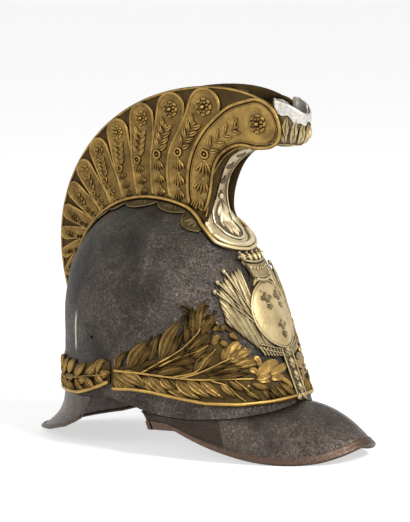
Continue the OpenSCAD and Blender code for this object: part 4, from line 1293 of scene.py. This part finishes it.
def front_shield():
    work = Embossing(wall_face, BRASS_LIFT)
    work.boss(90, SHIELD_Z, SHIELD_HALF_W, 4.6, 1.0, 56, 36, 0.8, SHIELD_HALF_H/SHIELD_HALF_W)
    set_relief(work.pieces[0], 0.8)
    work.hoop(90, SHIELD_Z, SHIELD_HALF_W - 0.6, 0.8, 2.6, (SHIELD_HALF_H - 0.6)/(SHIELD_HALF_W - 0.6), 72)
    for t, z in ((96.2, 11), (83.8, 11), (90, -14)):
        lily(work, t, SHIELD_Z + z, 14.5)
    for way in (-1, 1):
        for t, z in ((8.4, 21), (10.4, 6), (9.4, -8)):
            work.boss(90 + way*t, SHIELD_Z + z, 0.7, 0.5, 4.3, 8, relief=0.1)
        work.leaf([(90 + t*way, SHIELD_Z + z) for t, z in ((2, 29), (8, 31), (12, 26))], 4, 2.2, 1.6,
                  rim=0.4)
    return work.join("front_shield_oval")


def front_crown():
    """An open crown: two mouldings and a jewelled band that flares up to leaves and pearls."""
    def across(share, rise):
        return 90 + share*mix(8.0, 11.4, rise/CROWN_BAND_H), CROWN_LOW_Z + rise + 2.2*share*share

    def band_point(u, v):
        t, z = across(2*u - 1, CROWN_BAND_H*v)
        return wall(180 - t, z, BRASS_LIFT + 3.6)

    work = Embossing(wall_face, BRASS_LIFT)
    for rise, thick in ((0, 1.3), (2.4, 0.8), (CROWN_BAND_H, 1.0)):
        work.rod([across(share, rise) for share in (-1, -0.5, 0, 0.5, 1)], thick, 3.8, rings=40)
    work.pieces.append(woven("crown_sheet", 24, 6, band_point, 0.45, CROWN_BAND_T))
    for n in range(-3, 4):
        work.boss(*across(n/3.4, 0.64*CROWN_BAND_H), 1.2 + 0.4*(n % 2), 1.5, 3.4)
    for n in range(-2, 3):
        t, z = across(n/2.2, CROWN_BAND_H)
        lean = 1.3*n
        high = 9.0 - 0.6*abs(n)
        work.leaf([(t, z - 1), (t + lean*0.5, z + high*0.5), (t + lean, z + high)], 4.6, 2.4, 2.2, rim=0.4)
        for way in (-1, 1):
            side = [(lean*0.4 + way*1.2, 0.42), (lean*0.6 + way*3.1, 0.55), (lean*0.6 + way*3.0, 0.3)]
            work.leaf([(t, z)] + [(t + right, z + high*up) for right, up in side], 2.4, 2.2, 2.2, fine=False)
        work.boss(t + lean, z + high*0.97, 1.2, 2.4, 2.2, 8)
        if n < 2:
            work.boss(t + 2.6 + lean*0.5, z + 4.2, 1.1, 2.4, 2.4, 8)
    work.boss(90, CROWN_LOW_Z + CROWN_BAND_H + 2, 14, 2.4, 0.2, 28, 14, 0.3, 0.6)
    return work.join("front_crown_leaves")


# Lining

LINING_IN = STEEL_T + 2.6
LEATHER_T = 1.6
SWEAT_LOW = FLANGE_H + 3
SWEAT_H = 34.0
TONGUES = 8
TONGUE_TOP_H = 128.0


def sweatband():
    def where(u, v):
        t = -360*u
        return wall(t, BROW_Z + SWEAT_LOW + SWEAT_H*v, -LINING_IN - 0.35*np.abs(sin(3*t))*sin(180*v))

    return woven("leather_sweatband", 160, 12, where, 0.5, LEATHER_T, seam=True)


def liner(t, k):
    h = mix(SWEAT_LOW + SWEAT_H - 8, TONGUE_TOP_H, k)
    p = wall(t, BROW_Z + h, -LINING_IN - LEATHER_T - 3*GAP - 9*k*k)
    centre = at(0*t, dome_mid(BROW_Z + h, 0), BROW_Z + h + 14*k*k)
    return mix(p, centre, (0.55*k**4)[..., None])


def liner_tongues():
    work = Embossing(wall_face)
    for i in range(TONGUES):
        def where(u, v, i=i):
            wide = mix(168, 110, v*v)/TONGUES*np.sqrt(1 - clip((v - 0.88)/0.13)**2*0.75)
            return liner((i + 0.5)*360/TONGUES + mix(1, -1, u)*wide, v)

        work.pieces.append(woven("liner_tongue", 16, 28, where, 0.5, LEATHER_T))
    return work.join("leather_tongues")


def liner_lace():
    def centre(t):
        a, b = liner(t, 0.8 + 0*t), liner(t, 1 + 0*t)
        side = liner(t + 2, 1 + 0*t) - liner(t - 2, 1 + 0*t)
        return mix(a, b, 0.8) - (LEATHER_T + GAP + 1.0)*unit(np.cross(b - a, side))

    def where(u, v):
        t = 360*u
        ahead = unit(centre(t + 0.5) - centre(t - 0.5))
        across = unit(np.cross(ahead, vec(0, 0, 1)))
        over_it = np.cross(across, ahead)
        radius = 0.85 + 0.13*sin(360*v*2 + 4000*u)
        return centre(t) + radius[:, None]*(cos(360*v)[:, None]*across + sin(360*v)[:, None]*over_it)

    lace = woven("cotton_lace", 300, 10, where, 0.5, seam=True)
    edit(lace, lambda: bpy.ops.mesh.normals_make_consistent(inside=False))
    return lace


# Finishes

# Place of the bright vertical streak on the skull's rear right, in mm.
STREAK_X = 76.5
STREAK_Z = 108.0
# Where the painted shade on the visor's right wing begins.
WING_FROM = 27.0


class Nodes:
    """The nodes of a material or world; each input is set to a value, or linked to the output given."""

    def __init__(self, owner):
        owner.use_nodes = True
        self.links = owner.node_tree.links
        self.nodes = owner.node_tree.nodes

    def feed(self, node, values):
        for name, value in values.items():
            socket = node.inputs[name]
            if isinstance(value, bpy.types.NodeSocket):
                self.links.new(value, socket)
            else:
                socket.default_value = (*value, 1.0) if socket.type == "RGBA" else value

    def add(self, kind, values=None, **settings):
        node = self.nodes.new(kind)
        for name, value in settings.items():
            setattr(node, name, value)
        self.feed(node, values or {})
        return node

    def math(self, operation, a, b=0.0):
        return self.add("ShaderNodeMath", {0: a, 1: b}, operation=operation).outputs[0]

    def seen_white(self, lit, white):
        """White for camera, glossy and transmission rays, and lit for the rest."""
        rays = self.add("ShaderNodeLightPath").outputs
        share = self.math("MAXIMUM", rays["Is Camera Ray"], rays["Is Glossy Ray"])
        share = self.math("MAXIMUM", share, rays["Is Transmission Ray"])
        return self.add("ShaderNodeMixShader", {0: share, 1: lit, 2: white}).outputs[0]


class Finish(Nodes):
    """A material with its Principled shader, and the texture nodes that lead into it."""

    def __init__(self, name, **values):
        self.material = bpy.data.materials.new(name)
        super().__init__(self.material)
        self.shader = self.nodes["Principled BSDF"]
        self.feed(self.shader, values)
        self.place = self.add("ShaderNodeTexCoord").outputs["Object"]

    def noise(self, size, detail=3.0, roughness=0.55, distortion=0.0):
        """Cloudy noise with features of about size mm."""
        return self.add("ShaderNodeTexNoise", {"Vector": self.place, "Scale": 1/(size*MM),
                                               "Detail": detail, "Roughness": roughness,
                                               "Distortion": distortion}).outputs["Fac"]

    def spread(self, value, low, high, to_low=0.0, to_high=1.0):
        """Maps low to high onto to_low to to_high, held at both ends."""
        return self.add("ShaderNodeMapRange", {"Value": value, "From Min": low, "From Max": high,
                                               "To Min": to_low, "To Max": to_high}).outputs["Result"]

    def times(self, a, b):
        return self.math("MULTIPLY", a, b)

    def where(self):
        return self.add("ShaderNodeSeparateXYZ", {"Vector": self.place}).outputs

    def blend(self, share, a, b):
        """The colour a, or b where share is 1."""
        return self.add("ShaderNodeMix", {0: share, 6: a, 7: b}, data_type="RGBA").outputs[2]

    def recess(self):
        """1 in recesses up to 3 mm wide, by the light that they miss."""
        share = self.add("ShaderNodeAmbientOcclusion", {"Distance": 3*MM}, samples=8).outputs["AO"]
        return self.spread(share, 0.45, 0.98, 1.0, 0.0)

    def bump(self, height, depth):
        """Surface relief of depth mm, by height from 0 to 1."""
        bump = self.add("ShaderNodeBump", {"Height": height, "Distance": depth*MM, "Strength": 1.0})
        self.feed(self.shader, {"Normal": bump.outputs["Normal"]})


def tinted(colour, share):
    return tuple(share*c for c in colour)


def gilding(name, bright, worn, dark, rough=0.38, hollow=0.75, front=None):
    """Worn gilt brass: bright where it stands out, by wear and a painted highlight, and dark in the hollows,
    by patina and painted shade; front is its colour over the brow.
    """
    gilt = Finish(name, Metallic=0.7, **{"Specular IOR Level": 0.2})
    relief = gilt.add("ShaderNodeAttribute", attribute_name="relief").outputs["Fac"]
    patch = gilt.spread(gilt.noise(13, 5, 0.65), 0.36, 0.66)
    fine = gilt.noise(1.1, 4)
    spots = gilt.spread(gilt.noise(2.3, 5, 0.7), 0.60, 0.70)
    colour = gilt.blend(gilt.times(patch, 0.85), bright, worn)
    if front:
        colour = gilt.blend(gilt.spread(gilt.where()["Y"], -0.024, -0.034), colour, front)
    # Hollows dark with patina and with painted shade, by low relief and by the light that they miss.
    low = gilt.times(gilt.math("SUBTRACT", 1.0, gilt.spread(relief, 0.22, 0.75)), hollow)
    deep = gilt.math("MAXIMUM", low, gilt.recess())
    # Worn edges and a painted highlight on the highest relief.
    worn_edge_and_highlight = gilt.times(gilt.spread(relief, 0.88, 1.0), 0.55)
    colour = gilt.blend(worn_edge_and_highlight, colour, tuple(min(c, 0.8) for c in tinted(bright, 1.4)))
    colour = gilt.blend(gilt.times(spots, 0.45), colour, dark)
    dull = gilt.spread(gilt.math("ADD", fine, deep), 0.3, 1.6, rough, rough + 0.3)
    gilt.feed(gilt.shader, {"Base Color": gilt.blend(deep, colour, dark), "Roughness": dull})
    gilt.bump(gilt.math("ADD", gilt.times(fine, 0.5), gilt.noise(3.5, 2)), 0.22)
    return gilt.material


def pitted_steel(name, dark, mid, light, rough=0.5):
    """Old steel: a clouded patina with pits and bright flecks, partly worn metal and partly painted glints;
    returns the finish and its colour.
    """
    steel = Finish(name, Metallic=0.75)
    cloud = steel.noise(48, 9, 0.72, 0.3)
    grain = steel.noise(1.5, 6, 0.75)
    pits = steel.spread(steel.noise(2.4, 6, 0.78), 0.54, 0.66)
    shine = steel.spread(steel.noise(2.2, 8, 0.85), 0.50, 0.66)
    colour = steel.blend(steel.spread(cloud, 0.36, 0.70), dark, mid)
    # Bright flecks of worn metal and painted glints, where the patina is lighter.
    colour = steel.blend(steel.times(shine, steel.spread(cloud, 0.42, 0.66, 0.12, 0.8)), colour, light)
    colour = steel.blend(steel.times(pits, 0.75), colour, tinted(dark, 0.3))
    steel.feed(steel.shader, {"Roughness": steel.spread(grain, 0.3, 0.75, rough - 0.1, rough + 0.2)})
    steel.bump(steel.math("SUBTRACT", grain, steel.times(pits, 0.6)), 0.35)
    return steel, colour


def skull_finish():
    """Green stains under the crest, and one long bright vertical streak at the rear on the right."""
    steel, colour = pitted_steel("patinated_skull_steel", (0.019, 0.015, 0.012), (0.072, 0.057, 0.047),
                                 (0.36, 0.31, 0.26))
    x, y, z = steel.where()
    high = steel.spread(z, 0.165, 0.215)
    green = steel.times(high, steel.spread(steel.noise(18, 4), 0.46, 0.62, 0.0, 0.65))
    colour = steel.blend(green, colour, (0.035, 0.042, 0.028))
    # A narrow bright vertical streak in the colour.
    line = steel.spread(steel.math("ABSOLUTE", steel.math("ADD", x, STREAK_X*MM)), 0.0003, 0.0011, 1.0, 0.0)
    above = steel.math("SUBTRACT", z, STREAK_Z*MM)
    span = steel.spread(steel.math("ABSOLUTE", above), 0.012, 0.020, 1.0, 0.0)
    bright_streak = steel.times(line, steel.times(span, steel.spread(y, 0.0, 0.01)))
    steel.feed(steel.shader, {"Base Color": steel.blend(bright_streak, colour, (0.60, 0.55, 0.47))})
    return steel.material


def visor_finish(name, shaded_wing=False, light=1.0):
    """The steel of the visor and neck guard; beyond its crease the visor gets painted shade."""
    steel, colour = pitted_steel(name, tinted((0.028, 0.021, 0.016), light),
                                 tinted((0.084, 0.064, 0.052), light), (0.38, 0.33, 0.29), 0.34)
    if shaded_wing:
        x, y, _ = steel.where()
        beyond = steel.math("ADD", steel.times(x, -1.0), steel.times(y, 0.75))
        wing = steel.spread(beyond, WING_FROM*MM, (WING_FROM + 3)*MM, 0.0, 0.85)
        # Painted shade on the wing, which turns down and away from the light.
        colour = steel.blend(wing, colour, (0.024, 0.015, 0.010))
    steel.feed(steel.shader, {"Base Color": colour})
    return steel.material


def plain_metal(name, colour, dark, rough, size=2.0, metallic=0.8, depth=0.15):
    metal = Finish(name, Metallic=metallic)
    fine = metal.noise(size, 5, 0.7)
    base = metal.blend(metal.spread(fine, 0.4, 0.68), colour, dark)
    # Painted shade in recesses, by the light that they miss.
    base = metal.blend(metal.times(metal.recess(), 0.8), base, tinted(dark, 0.35))
    metal.feed(metal.shader, {"Base Color": base,
                              "Roughness": metal.spread(fine, 0.3, 0.7, rough - 0.08, rough + 0.15)})
    metal.bump(fine, depth)
    return metal.material


def hide(name, colour, dark, rough=0.62):
    skin = Finish(name, Metallic=0.0, Roughness=rough)
    grain = skin.noise(0.9, 6, 0.7)
    skin.feed(skin.shader, {"Base Color": skin.blend(skin.spread(skin.noise(14), 0.35, 0.7), colour, dark)})
    skin.bump(grain, 0.2)
    return skin.material


GILT_DARK = (0.020, 0.012, 0.005)
gilt = gilding("gilt_brass", (0.43, 0.268, 0.074), (0.15, 0.086, 0.026), GILT_DARK, 0.34, 0.85)
bead_gilt = gilding("bead_gilt", (0.47, 0.295, 0.085), (0.17, 0.098, 0.030), GILT_DARK, 0.34, 0.85,
                    (0.70, 0.58, 0.36))
dull_gilt = gilding("dull_gilt_brass", (0.20, 0.14, 0.06), (0.09, 0.068, 0.032), (0.020, 0.014, 0.008), 0.5)
pale_gilt = gilding("pale_gilt_brass", (0.62, 0.49, 0.27), (0.38, 0.28, 0.13), (0.035, 0.023, 0.011))
fan_gilt = gilding("bright_pale_gilt", (0.78, 0.655, 0.42), (0.56, 0.44, 0.25), (0.05, 0.033, 0.016),
                   0.34, 0.8)
flag_gilt = gilding("worn_pale_gilt", (0.50, 0.40, 0.22), (0.27, 0.20, 0.10), (0.025, 0.017, 0.009),
                    0.36, 0.9)
copper = plain_metal("worn_copper", (0.115, 0.072, 0.050), (0.045, 0.030, 0.022), 0.4)
iron = plain_metal("iron", (0.16, 0.13, 0.10), (0.07, 0.05, 0.035), 0.5)
dark_brass = plain_metal("dark_brass", (0.13, 0.085, 0.04), (0.05, 0.032, 0.018), 0.55, 6)
silver = plain_metal("silvered_sheet", (0.68, 0.655, 0.60), (0.40, 0.37, 0.32), 0.36, 3.0, 0.6, 0.3)
leather = hide("brown_leather", (0.20, 0.105, 0.05), (0.10, 0.05, 0.025))
cotton = hide("cotton_lace", (0.42, 0.36, 0.27), (0.30, 0.25, 0.18), 0.9)

# Pieces

left_plate = crest_plate()
right_plate = mirrored(left_plate, "crest_plate_right")
left_foot = crest_foot()
right_foot = mirrored(left_foot, "crest_flange_right")
right_band = side_band()
right_band.name = right_band.data.name = "side_band_leaves_right"
left_band = mirrored(right_band, "side_band_leaves_left")

for piece, *finish in (
        (left_plate, gilt, "gilt_brass", "crest_side_left"),
        (right_plate, gilt, "gilt_brass", "crest_side_right"),
        (left_foot, dull_gilt, "gilt_brass", "crest_foot_left"),
        (right_foot, dull_gilt, "gilt_brass", "crest_foot_right"),
        (crest_mask(), fan_gilt, "pale_gilt", "crest_mask"),
        (crest_cup(), pale_gilt, "pale_gilt", "crest_cup"),
        (cup_lining(), silver, "silvered", "cup_lining"),
        (crest_channel(), dark_brass, "inner_brass", "crest_channel"),
        (crest_bead(), bead_gilt, "gilt_brass", "crest_bead"),
        (skull_steel(), skull_finish(), "skull_steel", "skull"),
        (visor_steel(), visor_finish("worn_visor_steel", shaded_wing=True), "visor_steel", "visor", 30),
        (neck_guard(), visor_finish("worn_guard_steel", light=1.5), "visor_steel", "neck_guard", 30),
        (strip("visor_rim_strip", np.linspace(6, 174, 241), visor_edge, visor_skin, 6.5),
         copper, "rim_copper", "visor_binding", 40),
        (strip("neck_guard_rim_strip", np.linspace(24.5, 155.5, 181), guard_edge, guard_skin, 3.0),
         copper, "rim_copper", "guard_binding", 40),
        (right_band, gilt, "gilt_brass", "side_band_right"),
        (left_band, gilt, "gilt_brass", "side_band_left"),
        (rear_band(), gilt, "gilt_brass", "rear_band"),
        (front_plate(), flag_gilt, "pale_gilt", "front_plate"),
        (front_shield(), pale_gilt, "pale_gilt", "front_shield"),
        (front_crown(), pale_gilt, "pale_gilt", "front_crown"),
        (sweatband(), leather, "leather", "sweatband"),
        (liner_tongues(), leather, "leather", "liner_tongues"),
        (liner_lace(), cotton, "lace", "liner_lace")):
    finish_piece(piece, *finish)

for blank, *_ in (*pods.values(), *hoops.values()):
    bpy.data.objects.remove(blank)

CAD_FINISHES = {"visor_rivets": iron, "neck_guard_rivets": iron, "band_studs": iron, "crest_studs": iron,
                "crest_nuts": iron, "crest_saddle": dark_brass}
for node, material in CAD_FINISHES.items():
    for slot in bpy.data.objects[node].material_slots:
        slot.material = material

# Floor, light and camera

FLOOR_SIZE = 60.0
TARGET = (9.42*MM, 8.00*MM, 170.0*MM)
EYE = (-2486.76*MM, -1613.03*MM, 546.0*MM)
FOCAL_PIXELS = 3210
IMAGE_W = 410
SENSOR = 36.0


def aim(piece, target):
    piece.rotation_euler = (Vector(target) - piece.location).to_track_quat("-Z", "Y").to_euler()


deselect()
bpy.ops.mesh.primitive_plane_add(size=FLOOR_SIZE, location=(0, 0, 0))
floor = bpy.context.object
floor.name = "floor"

paper = Finish("pale_floor", **{"Base Color": (0.8, 0.8, 0.8), "Roughness": 0.9})
matte = paper.shader.outputs[0]
glow = paper.add("ShaderNodeEmission", {"Strength": 0.62}).outputs[0]
both = paper.add("ShaderNodeAddShader", {0: matte, 1: glow}).outputs[0]
paper.feed(paper.nodes["Material Output"], {"Surface": paper.seen_white(matte, both)})
floor.data.materials.append(paper.material)

world = bpy.data.worlds.new("studio")
bpy.context.scene.world = world
studio = Nodes(world)
sky = studio.nodes["Background"]
studio.feed(sky, {"Color": (1, 1, 1), "Strength": 0.3})
backdrop = studio.add("ShaderNodeBackground", {"Color": (1, 1, 1), "Strength": 1.0})
shown = studio.seen_white(sky.outputs[0], backdrop.outputs[0])
studio.feed(studio.nodes["World Output"], {"Surface": shown})


def lamp(name, location, size, power):
    deselect()
    bpy.ops.object.light_add(type="AREA", location=location)
    light = bpy.context.object
    light.name = light.data.name = name
    light.data.size = size
    light.data.energy = power
    aim(light, TARGET)


lamp("key", (-0.7, -2.3, 2.1), 0.9, 78)
lamp("fill", (-2.4, 0.9, 1.2), 1.4, 20)

deselect()
bpy.ops.object.camera_add(location=EYE)
camera = bpy.context.object
aim(camera, TARGET)
camera.data.sensor_fit = "HORIZONTAL"
camera.data.sensor_width = SENSOR
camera.data.lens = FOCAL_PIXELS*SENSOR/IMAGE_W
camera.data.clip_end = 200
bpy.context.scene.camera = camera
bpy.context.scene.view_settings.view_transform = "Standard"
